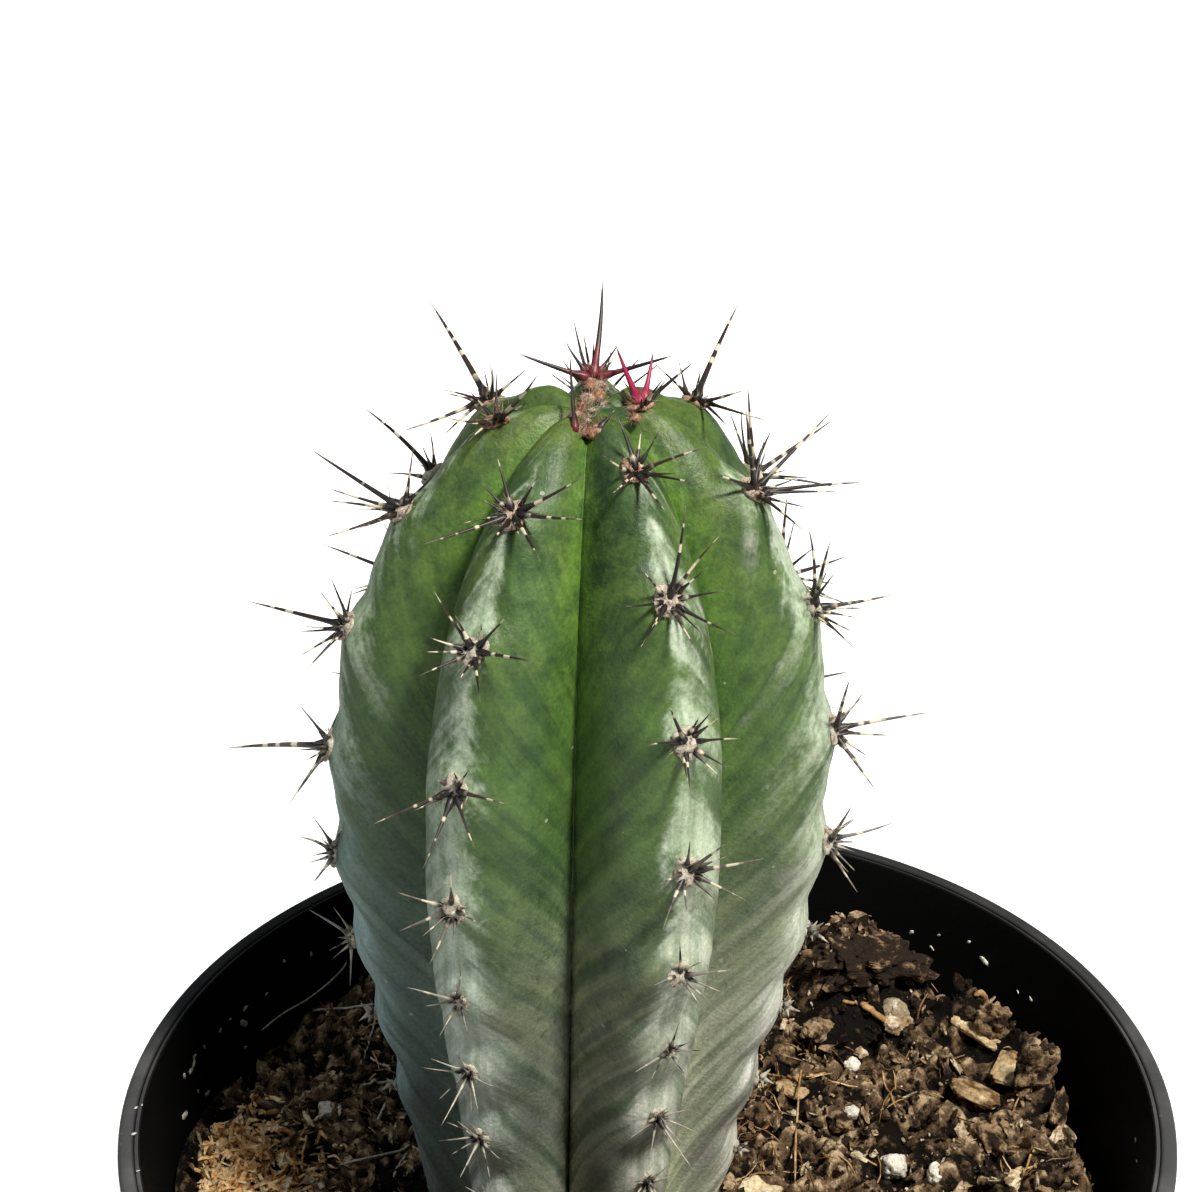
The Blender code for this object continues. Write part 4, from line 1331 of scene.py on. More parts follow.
def makeSpineLook():
    # Dark spines with pale bands and tips, crimson where they are young and paler where they are old
    material, shader = newFinish("spine")
    values = markValues("bandWay", "along", "fresh", "age", "tone")
    bands = put("TexNoise", {"W": values["bandWay"], **banding["bands"]},
                noise_dimensions="1D").outputs["Fac"]
    values["level"] = timesPlus(values["tone"], banding["toneInBands"], bands)
    values["pastCrimson"] = sums("SUBTRACT", values["along"], values["fresh"])
    old = blend(values["tone"], *banding["dark"])
    old = allLayers(values, old, *banding["old"])
    young = twoTone(values["fresh"], *banding["crimson"])
    young = allLayers(values, young, *banding["young"])
    colour = twoTone(values["fresh"], *banding["isFresh"], old, young)
    colour = allLayers(values, colour, *banding["both"])
    finishSurface(shader, colour, banding["roughness"])
    return material


woolTones = {
    "scale": 1500,
    # Dark, middle and light colour and tone
    "old": ((0.12, 0.095, 0.07), (0.56, 0.5, 0.4), (0.86, 0.81, 0.7), 0.03),
    "young": ((0.07, 0.022, 0.014), (0.36, 0.18, 0.11), (0.78, 0.62, 0.46), 0.05),
    "roughness": 0.95,
    "depth": 0.15,
    "shine": 0.1,
}


def placeEarth(scale, dark, middle, light, tone):
    # The shared mottled colour at the piece's own place
    return useGroup(earthTones, {"Vector": objectPlace(), "Scale": scale, "Dark": dark,
                                         "Middle": middle, "Light": light, "Tone": tone})


def makeFeltLook():
    # Grey cream felt that is brown where it is young
    material, shader = newFinish("areole_felt")
    old, young = (placeEarth(woolTones["scale"], *woolTones[name]) for name in ("old", "young"))
    colour = blend(mark("young").outputs["Fac"], old["Color"], young["Color"])
    finishSurface(shader, colour, woolTones["roughness"], old["Height"], woolTones["depth"],
                  woolTones["shine"])
    return material


earthLooks = {
    "roughness": 0.95,
    "shine": 0.15,
    # Scale, dark, middle and light colour, tone, and depth of the bump in millimetres
    "kinds": {
        "peat": (700, (0.006, 0.004, 0.0025), (0.135, 0.085, 0.046), (0.58, 0.42, 0.25), -0.04, 0.6),
        "peat_crumbs": (600, (0.03, 0.019, 0.012), (0.37, 0.245, 0.135), (0.86, 0.72, 0.5), -0.02, 0.6),
        "peat_fibres": (400, (0.14, 0.065, 0.022), (0.48, 0.28, 0.115), (0.8, 0.58, 0.32), 0, 0.2),
        "peat_coir": (500, (0.3, 0.13, 0.045), (0.82, 0.49, 0.2), (0.95, 0.76, 0.46), 0, 0.2),
        "peat_roots": (500, (0.3, 0.27, 0.21), (0.6, 0.56, 0.46), (0.85, 0.8, 0.7), 0, 0.2),
        "perlite": (900, (0.34, 0.27, 0.17), (0.8, 0.74, 0.62), (0.92, 0.88, 0.78), 0.1, 0.2),
        "bark": (500, (0.13, 0.07, 0.03), (0.48, 0.33, 0.17), (0.8, 0.66, 0.42), 0, 0.5),
    },
}


def makeEarthLook(name):
    # Rough natural material: each piece or fragment is shaded a little differently by its tone mark
    scale, dark, middle, light, tone, depth = earthLooks["kinds"][name]
    material, shader = newFinish(name)
    ownTone = sums("ADD", mark("tone").outputs["Fac"], tone)
    tones = placeEarth(scale, dark, middle, light, ownTone)
    finishSurface(shader, tones["Color"], earthLooks["roughness"], tones["Height"], depth,
                  earthLooks["shine"])
    return material


plastic = {
    "fine": (3500, 2, 0.5),
    "cloud": (90, 4, 0.65),
    # Dust lies in clouds on what faces up: ends of both
    "dustClouds": (0.42, 0.72),
    "dustUp": (-0.2, 0.9),
    "dots": {"Scale": 900, "Size": 0.2, "Share": 0.1},
    # The inside, where faces point at the pot's middle, gets painted shade
    "inside": (-0.01, -0.03),
    # Black, dust, dots, painted shade on the side towards the back, in metres, and painted shade inside:
    # colour, share, ranges
    "layers": (
        (0.062, 0.063, 0.064),
        ((0.22, 0.215, 0.2), 0.3, (("dust",),)),
        ((0.22, 0.2, 0.17), 0.35, (("dots",),)),
        # Painted shade, darker towards the back of the pot
        ((0.012, 0.012, 0.013), 0.72, (("back", -0.01, 0.045),)),
        # Painted shade inside the pot: the same plastic made near black
        ((0.0035, 0.0035, 0.0035), 1, (("inside",),))),
    "roughness": (0.2, 0.58),
    "depth": 0.03,
    "shine": (-0.07, 0.12),
}


def makePlastic():
    # Satin black plastic with dust and spots, with painted shade towards the back and deep black painted
    # shade inside
    material, shader = newFinish("pot_plastic")
    place = objectPlace()
    normal = put("NewGeometry").outputs["Normal"]
    cloud = between(grain(place, *plastic["cloud"]), *plastic["dustClouds"])
    up = put("SeparateXYZ", {"Vector": normal}).outputs[2]
    outward = put("VectorMath", {0: scaled(place, (1, 1, 0)), 1: normal},
                  operation="DOT_PRODUCT").outputs["Value"]
    values = {
        "dust": times(cloud, between(up, *plastic["dustUp"])),
        "dots": useGroup(spots, {"Vector": place, **plastic["dots"]})["Mask"],
        # Where the painted shade towards the back lies
        "back": put("SeparateXYZ", {"Vector": place}).outputs[1],
        "inside": between(outward, *plastic["inside"]),
    }
    colour = allLayers(values, *plastic["layers"])
    roughness = timesPlus(values["dust"], *plastic["roughness"])
    shine = timesPlus(values["inside"], *plastic["shine"])
    fine = grain(place, *plastic["fine"])
    finishSurface(shader, colour, roughness, fine, plastic["depth"], shine)
    return material


# Soil: crumbly bed with clods, shrunk away from the wall on the right

pot = {
    "lip": 2.4,
    "wall": 1,
    "baseRadius": 39,
    "sides": 192,
    # Width of the foot ring, under and top side of the floor, and height and inner radius of the collar
    "foot": 3.4,
    "floor": (1.4, 2.6),
    "collar": (9, 53.5),
    # Drain holes: number, radius and distance from the middle, and their cutters: sides, length, height
    "holes": (5, 3.5, 26),
    "cutter": (48, 12, 2),
    "sharp": 35,
}

soil = {
    # Place, rise and spread of each swelling of the soil
    "clods": (
        (25, 36, 8, 8), (38, 27, 6, 5), (44, 18, 5, 5), (33, 14, 1.5, 7), (24, 5, -1, 7),
        (-38, 22, -1.5, 10), (-43, 8, 2.5, 8), (-30, 30, 1, 8), (-25, -30, 2, 9), (8, -40, 2.5, 9),
        (36, -18, 2, 8), (12, 40, 2, 9), (-12, 42, -1, 8), (20, -22, -1.5, 8)),
    "waves": ((0.5, 0.55, 0.48), (0.35, 0.83, -0.71)),
    "shrinkage": (8, 46.5, 3.5),
    "levelRoundStem": (13, 9),
    "gap": 0.4,
    "swell": 0.6,
    "floor": 3,
    "chamfer": 1.4,
    "wallTop": 66,
    # Rings up the wall, over the top and down the hole, and steps of the search for the hole's rim
    "wallRings": 8,
    "rings": 106,
    "holeRings": 24,
    "holeEnds": (0.5, 0.4),
    "rimSteps": 700,
    "halfColumns": 32,
    # Shares of the way from wall to stem over which the crumbly relief comes and goes
    "calmEdges": (0.03, 0.02),
    # Cell size, height and seed of the lumps, the noise that bends them, and the noise on them
    "lumps": ((5.2, 0.45, 131), (2.7, 0.55, 141), (1.3, 0.62, 151)),
    "bends": (0.9, 1.6, 2),
    "domeSizes": (0.38, 0.42),
    "domeLevel": 0.4,
    "relief": ((6, 0.9, 31), (0.9, 0.8, 51)),
    # How strongly the crumbly relief's height tints the soil: painted shade in its hollows, painted light on
    # its tops
    "reliefShadeByHeight": 0.3,
    # Painted shade in the hollows beside the big clods: middle, reach and darkening, and how much narrower
    # they are in depth
    "paintedHollowShades": (((25, 26.5), 5.6, 0.44), ((35, 29), 3, 0.42), ((40, 20.5), 2.2, 0.36)),
    "hollowNarrow": 1.6,
    # Distances from the camera between which a sight line is searched, and the steps
    "sightSpan": (290, 400, 1801),
}


def innerWall(height):
    # Inner radius of the pot's sloping wall at a height
    low = pot["baseRadius"] - pot["wall"]
    return low + (rimRadius - pot["lip"] - low) * height / potHeight


def soilHeight(x, y):
    # The level of the soil with clods, low waves and the fall towards the wall on the right
    height = np.zeros_like(x)
    for clodX, clodY, rise, spread in soil["clods"]:
        height = height + rise * np.exp(-((x - clodX) ** 2 + (y - clodY) ** 2) / spread ** 2)
    for rise, alongX, alongY in soil["waves"]:
        height = height + rise * np.sin(x * alongX + y * alongY + alongX)
    radius = np.hypot(x, y)
    depth, start, width = soil["shrinkage"]
    onRight = ease(2 * x / np.maximum(radius, 1) - 0.8)
    height = height - depth * onRight * easeFrom(radius, start, width)
    fromStem = np.hypot(x - stem["foot"][0], y - stem["foot"][1])
    return soilLevel + height * easeFrom(fromStem, *soil["levelRoundStem"])


def domes(x, y, size, seed):
    # Rounded lumps: the highest of the domes that stand in a place's own cell and the eight around it
    least, more = soil["domeSizes"]
    cellX, cellY = np.floor(x / size).astype(np.int64), np.floor(y / size).astype(np.int64)
    highest = np.zeros(np.shape(x))
    for step in range(9):
        cell = np.stack([cellX + step % 3 - 1, cellY + step // 3 - 1, 0 * cellX], axis=-1)
        fromX = x - (cell[..., 0] + cornerNumber(cell, seed)) * size
        fromY = y - (cell[..., 1] + cornerNumber(cell, seed + 1)) * size
        radius = size * (least + more * cornerNumber(cell, seed + 2))
        inside = 1 - (fromX ** 2 + fromY ** 2) / radius ** 2
        highest = np.maximum(highest, radius * np.sqrt(np.maximum(inside, 0)))
    return highest


def crumble(x, y, layers):
    # Crumbly relief: domes whose outlines noise bends, and noise on top, of the chosen layers
    flat = np.stack([x, y, 0 * x], axis=-1)
    far, *pattern = soil["bends"]
    bentX, bentY = x + far * roughNoise(flat, *pattern, 11), y + far * roughNoise(flat, *pattern, 17)
    height = np.zeros_like(x)
    for size, amount, seed in soil["lumps"][layers]:
        height = height + amount * (domes(bentX, bentY, size, seed) - soil["domeLevel"] * size)
    for size, amount, seed in soil["relief"][layers]:
        height = height + amount * roughNoise(flat, size, 2, seed)
    return height


def paintedHollowShade(x, y):
    # Painted shade in the hollows beside the big clods, a flattened bell for each
    tone = 0
    for (hollowX, hollowY), reach, dark in soil["paintedHollowShades"]:
        tone = tone - dark * bell(np.hypot(x - hollowX, soil["hollowNarrow"] * (y - hollowY)) / reach)
    return tone


def soilTop(x, y):
    # Soil height with all of its crumbly relief
    return soilHeight(x, y) + crumble(x, y, slice(None))


def makeSoil(material):
    # Rings up inside the wall, over the top to the stem's outline, and down the stem's hole
    rib, across = ribColumns(soil["halfColumns"], 0)
    turns = ribTurn(rib) + across * math.pi / stem["ribs"]
    gap, swell, floor, chamfer = (soil[name] for name in ("gap", "swell", "floor", "chamfer"))

    def wallRing(height, inset):
        radius = innerWall(height) - inset
        return np.stack([radius * np.sin(turns), -radius * np.cos(turns), 0 * turns + height], axis=-1)

    arcs = np.linspace(stemLength / 2, stemLength, soil["rimSteps"])
    line = stemSurface(arcs[:, None], rib, across, swell)
    row = np.argmax(line[..., 2] < soilLevel, axis=0)
    rim = np.take_along_axis(line, row[None, :, None], axis=0)[0]
    start, end = soil["holeEnds"]
    below = np.linspace(arcs[row.max()] + start, stemLength - end, soil["holeRings"])
    hole = stemSurface(below[:, None], rib, across, swell)
    rings = [wallRing(floor, gap + chamfer)]
    heights = np.linspace(floor + chamfer, soil["wallTop"], soil["wallRings"])
    rings += [wallRing(height, gap) for height in heights]
    wall = wallRing(soilLevel, gap)
    rings.append(wallRing(soilHeight(wall[:, 0], wall[:, 1]), gap))
    steps = np.arange(1, soil["rings"] + 1) / soil["rings"]
    top = wall * (1 - steps[:, None, None]) + rim * steps[:, None, None]
    atWall, atStem = soil["calmEdges"]
    fade = ease(np.minimum(steps / atWall, (1 - steps) / atStem))[:, None]
    base = soilHeight(top[..., 0], top[..., 1])
    top[..., 2] = base + (soilTop(top[..., 0], top[..., 1]) - base) * fade
    top = keepInside(top, gap)
    grid = np.concatenate([np.stack(rings), top, hole])
    tones = np.zeros(grid.shape[:2])
    most = soil["reliefShadeByHeight"]
    small = np.clip(most * crumble(top[..., 0], top[..., 1], slice(1, None)), -most, most)
    # Painted shade: darker in the relief's hollows and beside the big clods, lighter on the relief's tops
    tones[len(rings):len(rings) + len(top)] = small + paintedHollowShade(top[..., 0], top[..., 1])
    under = np.array([0, 0, floor])
    closing = lean(np.array([[0, 0, stem["rootEnd"] - swell]]))[0]
    points, faces = closedRows(grid, under, closing)
    newPiece("soil_bed", points, faces, material, ["soil"],
             {"tone": np.append(tones.ravel(), [0, 0])})


fragments = {
    "sharp": 25,
    # Ball level, number, least and greatest half size, share of its size in three directions, roughness,
    # material tone and its spread
    "kinds": {
        "crumbs_coarse": (1, 1200, (0.5, 1.6), (1, 0.7, 0.45), 0.7, -0.04, 0.15),
        "crumbs_fine": (0, 5300, (0.2, 0.7), (1, 0.6, 0.35), 0.65, 0, 0.17),
        "flakes": (1, 1420, (0.7, 2.4), (1, 0.6, 0.16), 0.65, 0.02, 0.17),
    },
    "smallMore": 1.5,
    "stretch": (0.65, 1),
    "lift": 0.35,
    # Distances kept from the stem and from the wall
    "clearance": (2, 1.2),
}

fibres = {
    # Middle and spread in millimetres, number, least and greatest length and radius, and tone of each spread
    "spreads": {
        "coir": ((-45.5, 1), 5.3, 1150, (0.6, 2.5), (0.09, 0.32), 0.08),
        "fibres": ((0, 0), 34, 420, (1, 4.5), (0.05, 0.12), 0.04)},
    "clearance": (3, 3.5),
    "taper": (0.6, 1, 1, 0.9, 0.4),
    "bend": 0.4,
    "rise": 0.9,
    # How much a fibre follows the relief under it
    "follow": 0.3,
    "toneSpread": 0.12,
    "lift": 0.25,
    "gap": 0.6,
    "sharp": 30,
    # Roots and stalks that the photograph shows: pixels and radius
    "seen": (
        ((815, 1034), (806, 1060), (799, 1084), (796, 1130), (794, 1191), 0.14),
        ((766, 1076), (782, 1080), (799, 1086), 0.16), ((861, 1008), (878, 1020), (896, 1032), 0.42),
        ((262, 1033), (279, 1018), (311, 1001), (342, 974), (347, 965), 0.11),
        ((313, 1014), (345, 1011), (376, 1008), 0.17), ((377, 1016), (369, 1050), (357, 1086), 0.12),
        ((371, 1059), (391, 1076), 0.16), ((364, 1088), (388, 1086), 0.22),
        ((394, 1091), (377, 1125), 0.2),
        ((340, 1168), (370, 1161), (400, 1154), (410, 1147), 0.16), ((408, 1154), (393, 1180), 0.14),
        ((413, 1149), (437, 1171), 0.2), ((1054, 1110), (1040, 1126), 0.13),
        ((1035, 1150), (1023, 1178), 0.13), ((742, 1045), (745, 1090), 0.12),
        ((880, 1075), (895, 1110), 0.12), ((828, 960), (834, 980), 0.14),
        ((975, 1000), (1004, 1022), 0.42), ((842, 1004), (858, 1008), 0.2)),
    "seenSteps": 14,
    "seenSides": 7,
    "seenTone": 0.05,
    "seenEnds": (0.5, 0.4),
    # Noise along them: distance or least radius and how much more, then size, octaves or seed
    "seenBend": (0.16, 2.5, 2, 91),
    "seenSwelling": (0.8, 0.3, 1.5, 95),
}


def overSoil(random, count):
    # Even places on the soil between the stem and the wall
    clearance, margin = fragments["clearance"]
    radius = np.sqrt(random.uniform(0, 1, 3 * count)) * (innerWall(soilLevel) - margin)
    turn = random.uniform(0, 2 * math.pi, 3 * count)
    x, y = radius * np.sin(turn), -radius * np.cos(turn)
    clear = outsideStem(x, y, clearance) & clearOfGrains(x, y)
    return x[clear][:count], y[clear][:count]


def clearOfGrains(x, y):
    # True where a place is not on top of a perlite grain or a bark chip
    share, margin = grains["clearance"]
    clear = np.ones(np.shape(x), bool)
    for grainX, grainY, long, *_ in grains["perlite"] + grains["bark"]:
        clear &= np.hypot(x - grainX, y - grainY) > share * long + margin
    return clear


def outsideStem(x, y, clearance):
    # True where a place on the soil is clear of the stem, whose outline is read off around it
    turns = np.linspace(-math.pi, math.pi, stem["outlineSteps"])
    across = (turns - ribTurn(0)) / (2 * math.pi / stem["ribs"])
    rib = np.mod(np.round(across), stem["ribs"])
    buried = float(np.interp(-soilLevel, -crest[2], crest[0]))
    outline = stemSurface(np.full(len(turns), buried), rib, 2 * (across - np.round(across)))
    middle = lean(np.array([[0, 0, soilLevel]]))[0]
    radius = np.hypot(outline[:, 0] - middle[0], outline[:, 1] - middle[1])
    turn = np.arctan2(x - middle[0], -(y - middle[1]))
    return np.hypot(x - middle[0], y - middle[1]) > np.interp(turn, turns, radius) + clearance


def soilPoint(pixel):
    # Where a pixel's sight line first meets the soil or the wall round it
    places = alongSight(pixel, soil["sightSpan"])
    x, y, z = places.T
    behind = (z < potHeight) & (np.hypot(x, y) > innerWall(z) - pot["wall"])
    return places[np.argmax((z < soilTop(x, y)) | behind)]


def keepInside(points, gap=0.3):
    # Points moved towards the middle where they would pass through the wall
    radius = np.maximum(np.hypot(points[..., 0], points[..., 1]), 1)
    share = np.minimum(1, (innerWall(points[..., 2]) - gap) / radius)
    return points * np.stack([share, share, np.ones_like(share)], axis=-1)


def makeFragments(material, random):
    # Jagged lumps and flakes: each ball's points pushed in and out, stretched, turned and laid on the soil
    for name, (level, number, sizes, shares, rough, tone, spread) in fragments["kinds"].items():
        shape, faces = ballShape(level)
        x, y = overSoil(random, number)
        number = len(x)
        size = sizes[0] * (sizes[1] / sizes[0]) ** (random.uniform(0, 1, number) ** fragments["smallMore"])
        stretch = random.uniform(*fragments["stretch"], (number, 3)) * shares
        reach = 1 - rough * random.uniform(0, 1, (number, len(shape)))
        points = shape[None] * reach[..., None] * stretch[:, None] * size[:, None, None]
        turned = turnings(*(random.uniform(0, 2 * math.pi, number) for _ in range(3)))
        points = np.einsum("nij,npj->npi", turned, points)
        points += np.stack([x, y, soilTop(x, y) + fragments["lift"] * size], axis=-1)[:, None]
        # Crumbs in the hollows beside the big clods get the painted shade too
        tones = np.repeat(random.normal(tone, spread, number) + paintedHollowShade(x, y), len(shape))
        newPiece(name, keepInside(points).reshape(-1, 3), repeatFaces([faces], len(shape), number), material,
                 marks={"tone": tones}, sharp=fragments["sharp"])


def makeFibres(materials, random):
    # Short bent fibres laid on the soil with one end raised
    steps = len(fibres["taper"])
    t = np.linspace(0, 1, steps)
    fromStem, fromWall = fibres["clearance"]
    for name, (middle, spread, number, lengths, thick, tone) in fibres["spreads"].items():
        x, y = (random.normal(middle[axis], spread, 4 * number) for axis in (0, 1))
        inPot = np.hypot(x, y) < innerWall(soilLevel) - fromWall
        clear = outsideStem(x, y, fromStem) & inPot & clearOfGrains(x, y)
        x, y = x[clear][:number, None], y[clear][:number, None]
        number = len(x)
        long = random.uniform(*lengths, number)[:, None]
        turn = random.uniform(0, 2 * math.pi, number)[:, None]
        turn = turn + random.normal(0, fibres["bend"], number)[:, None] * (t - 0.5)
        lineX = x + long * (t - 0.5) * np.cos(turn)
        lineY = y + long * (t - 0.5) * np.sin(turn)
        rise = random.uniform(0, fibres["rise"], number)[:, None] ** 2 * long
        rise = rise * np.abs(t - random.integers(0, 2, number)[:, None])
        level = soilTop(x, y)
        level = level + fibres["lift"] + fibres["follow"] * (soilTop(lineX, lineY) - level)
        lines = keepInside(np.stack([lineX, lineY, level + rise], axis=-1), fibres["gap"])
        radii = random.uniform(*thick, number)[:, None] * np.array(fibres["taper"])
        tones = random.normal(tone, fibres["toneSpread"], number)[:, None] * np.ones(steps)
        points, faces = tubes(lines, radii, 3)
        newPiece(name, points, faces, materials[name], marks={"tone": alongTubes(tones, 3)},
                 sharp=fibres["sharp"])
    for name, onLeft in (("roots", True), ("stalks", False)):
        makeSeenFibres(name, materials[name], onLeft)


def makeSeenFibres(name, material, onLeft):
    # Tubes along the pixels' places on the soil, a little bent by noise, on one side of the stem
    lines, radii = [], []
    steps = fibres["seenSteps"]
    bend, *bendPattern = fibres["seenBend"]
    least, more, *swellPattern = fibres["seenSwelling"]
    ends = np.ones(steps)
    ends[[0, -1]] = fibres["seenEnds"]
    for *pixels, radius in fibres["seen"]:
        if (pixels[0][0] < view["photoWidth"] / 2) != onLeft:
            continue
        stops = np.array([soilPoint(pixel) for pixel in pixels])
        stops[:, 2] += radius + fibres["lift"]
        place, counts = np.linspace(0, len(stops) - 1, steps), np.arange(len(stops))
        line = np.stack([np.interp(place, counts, axis) for axis in stops.T], axis=1)
        line[1:-1] = 0.25 * line[:-2] + 0.5 * line[1:-1] + 0.25 * line[2:]
        line[:, 2] = np.maximum(line[:, 2], soilTop(line[:, 0], line[:, 1]) + radius)
        apart = line[:, None] + [[0, 0, 0], [50, 0, 0], [0, 50, 0]]
        lines.append(line + bend * roughNoise(apart, *bendPattern))
        radii.append(radius * (least + more * noise(line, *swellPattern)) * ends)
    points, faces = tubes(keepInside(np.array(lines), fibres["gap"]), np.array(radii), fibres["seenSides"])
    newPiece(name, points, faces, material, marks={"tone": np.full(len(points), fibres["seenTone"])})


clods = {
    # Pixel at the foot, half sizes, turn in degrees and tone of each big lump
    "peat": (
        ((868, 968), (6.4, 3.3, 2.3), 8, -0.2), ((900, 1024), (1.8, 1.4, 1), 30, 0.14),
        ((990, 1032), (2.3, 1.2, 3.2), -25, -0.04), ((1034, 1080), (2.3, 1.2, 4.4), 25, -0.06),
        ((1058, 1120), (1.7, 0.9, 3), 70, -0.06), ((930, 1050), (2.4, 1.3, 1), -10, -0.06),
        ((846, 1120), (2.4, 1.5, 0.9), 60, -0.04), ((990, 1140), (2.4, 1.3, 1.2), -50, -0.06),
        ((820, 1030), (2.2, 1.3, 1), 40, 0)),
    "bark": (
        ((1016, 1180), (2.2, 1.2, 0.6), 60, 0.25), ((762, 1192), (2.4, 1.5, 1), 0, 0.3),
        ((985, 1100), (1.6, 1, 0.6), -50, 0.22), ((838, 985), (1.5, 0.9, 0.5), 20, 0.12),
        ((1006, 1064), (1.5, 0.8, 0.5), 65, 0.18), ((792, 1090), (2, 1.4, 0.5), -20, 0.08)),
    "ballLevel": {"peat": 4, "bark": 3},
    "boxiness": 0.8,
    "size": 0.95,
    "roughness": 0.62,
    "cell": 1.3,
    "seed": 160,
    "tilt": 0.15,
    "spin": 0.1,
    "lift": 0.25,
    # Painted shade in the dents and painted light on the knobs: the tone follows the noise that pushes each
    # lump in and out
    "dentShadeByRoughness": 0.25,
    "sharp": 30,
}

specks = {
    # Bits that stick to the inside of the wall: pixel and size
    "wall": (
        (912, 932, 0.45), (932, 948, 0.35), (939, 935, 0.3), (969, 942, 0.35), (985, 961, 0.7),
        (958, 985, 0.3), (1031, 999, 0.35), (1018, 992, 0.25), (1136, 1140, 0.3), (1137, 1161, 0.3),
        (284, 961, 0.3), (311, 954, 0.35), (245, 1008, 0.5), (243, 1023, 0.8), (230, 1019, 0.3),
        (220, 1030, 0.35), (204, 1047, 0.35), (194, 1056, 0.4), (193, 1064, 0.6), (190, 1071, 0.6),
        (184, 1076, 0.5), (198, 1091, 0.35), (245, 1047, 0.3), (266, 994, 0.3), (184, 1115, 0.8),
        (207, 1093, 0.6)),
    "rim": ((136, 1108, 0.26), (134, 1134, 0.34), (142, 1105, 0.16), (138, 1171, 0.22)),
    "scale": 1.25,
    "shares": (1, 0.55, 0.22),
    "roughness": 0.5,
    "lift": 0.1,
    "brightest": 0.3,
    "sightSpan": (200, 480, 5601),
    "rimDepth": 0.3,
}

grains = {
    # Place and size of each perlite grain
    "perlite": (
        (23.6, 22, 2.2), (22.7, 13, 2.4), (26.8, 4.6, 3.6), (31.2, 2.2, 3), (12.5, -3, 4.2),
        (29, 28.5, 3.6), (-34.6, 13.5, 3.4), (-20, -33, 3), (15, -37, 2.4),
        (34, -25, 3.3), (-38, -12, 2.2)),
    "shares": (0.5, 0.42, 0.4),
    "tilt": 20,
    # Knobs: middle, strength, noise size and octaves. Pits: depth, size, start and change
    "knobs": (0.9, 0.42, 0.8, 3),
    "pits": (0.12, 0.3, 0.6, 0.2),
    "perliteTone": 0.05,
    "greyOnes": {6: -0.28, 7: -0.06},
    # Place, length, width, turn and tilt of each bark chip
    "bark": (
        (36.5, 13.5, 7.5, 3.4, -25, 12), (40.5, 17, 6.5, 3.8, 60, -16),
        (37.5, 22.5, 8, 2.4, -35, 14), (39, -3.5, 6.5, 3.2, 20, 18),
        (-8, -38, 7.5, 4.2, 75, 8), (-33, -24, 7, 3.4, -50, -12),
        (-14, 36, 6.5, 3.6, 10, 10)),
    "barkThickness": 0.7,
    "barkFlatness": 0.8,
    "boxiness": 0.62,
    # Noise that tears the ends and layers the faces: strength, stretch, size and octaves
    "ragged": (0.2, (0.5, 1.6, 1), 0.5, 4),
    "layers": (0.34, (0.4, 1, 1), 0.9, 4),
    "sharp": (40, 30),
    "barkTone": (0.14, -0.05, 0.15),
    "lie": 0.15,
    "lift": 0.3,
    "clearance": (0.42, 0.3),
}


def boxed(ball, power):
    # A ball made boxy by a power of its points' distances
    return np.sign(ball) * np.abs(ball) ** power


def makeClods(kind, name, material):
    # Big jagged lumps: a boxy ball, pushed in and out by coarse and fine noise
    ball, ballFaces = ballShape(clods["ballLevel"][kind])
    lumps, tones = [], []
    for number, (pixel, half, turn, tone) in enumerate(clods[kind]):
        box = boxed(ball, clods["boxiness"]) * half
        jagged = roughNoise(box + number * 11, clods["cell"], 4, clods["seed"] + number)
        shape = box * (clods["size"] + clods["roughness"] * jagged)[:, None]
        angles = np.array([math.radians(turn), clods["tilt"], clods["spin"]])[:, None]
        turned = turnings(*angles)[0]
        lumps.append(shape @ turned.T + soilPoint(pixel) + [0, 0, clods["lift"] * half[2]])
        # Painted shade in the dents, painted light on the knobs
        tones.append(tone + clods["dentShadeByRoughness"] * jagged)
    faces = repeatFaces([ballFaces], len(ball), len(lumps))
    newPiece(name, keepInside(np.concatenate(lumps)), faces, material,
             marks={"tone": np.concatenate(tones)}, sharp=clods["sharp"])


def wallPoint(pixel):
    # Where a pixel's sight line meets the rim or the inside of the wall, and which way that faces
    places = alongSight(pixel, specks["sightSpan"])
    x, y, z = places.T
    place = places[np.argmax((z < potHeight) & (np.hypot(x, y) > innerWall(z)))]
    if place[2] > potHeight - specks["rimDepth"]:
        return place, np.array([0, 0, 1])
    return keepInside(place, 0), -unit(place * [1, 1, 0])


def makeSpecks(kind, name, material, random):
    # Flattened jagged bits that lie against the surface behind their pixel
    ball, ballFaces = ballShape(1)
    bits = []
    for x, y, size in specks[kind]:
        place, facing = wallPoint((x, y))
        size = size * specks["scale"]
        side = unit(np.cross(facing, random.normal(0, 1, 3)))
        axes = np.stack([side, np.cross(facing, side), facing])
        reach = 1 - specks["roughness"] * random.uniform(0, 1, len(ball))
        shape = ball * reach[:, None] * size * specks["shares"]
        bits.append(place + facing * specks["lift"] * size + shape @ axes)
    tones = np.repeat(random.uniform(0, specks["brightest"], len(bits)), len(ball))
    newPiece(name, np.concatenate(bits), repeatFaces([ballFaces], len(ball), len(bits)), material,
             marks={"tone": tones})


def layInSoil(shape, half, x, y, turn, tilt):
    # Tilted, turned and laid with its middle a little above the soil
    turned = turnings(np.array([math.radians(turn)]), np.array([math.radians(tilt)]), np.array([0]))[0]
    top = float(soilHeight(np.array([x], float), np.array([y], float))[0])
    return shape @ turned.T + [x, y, top + grains["lie"] * half[2] + grains["lift"]]


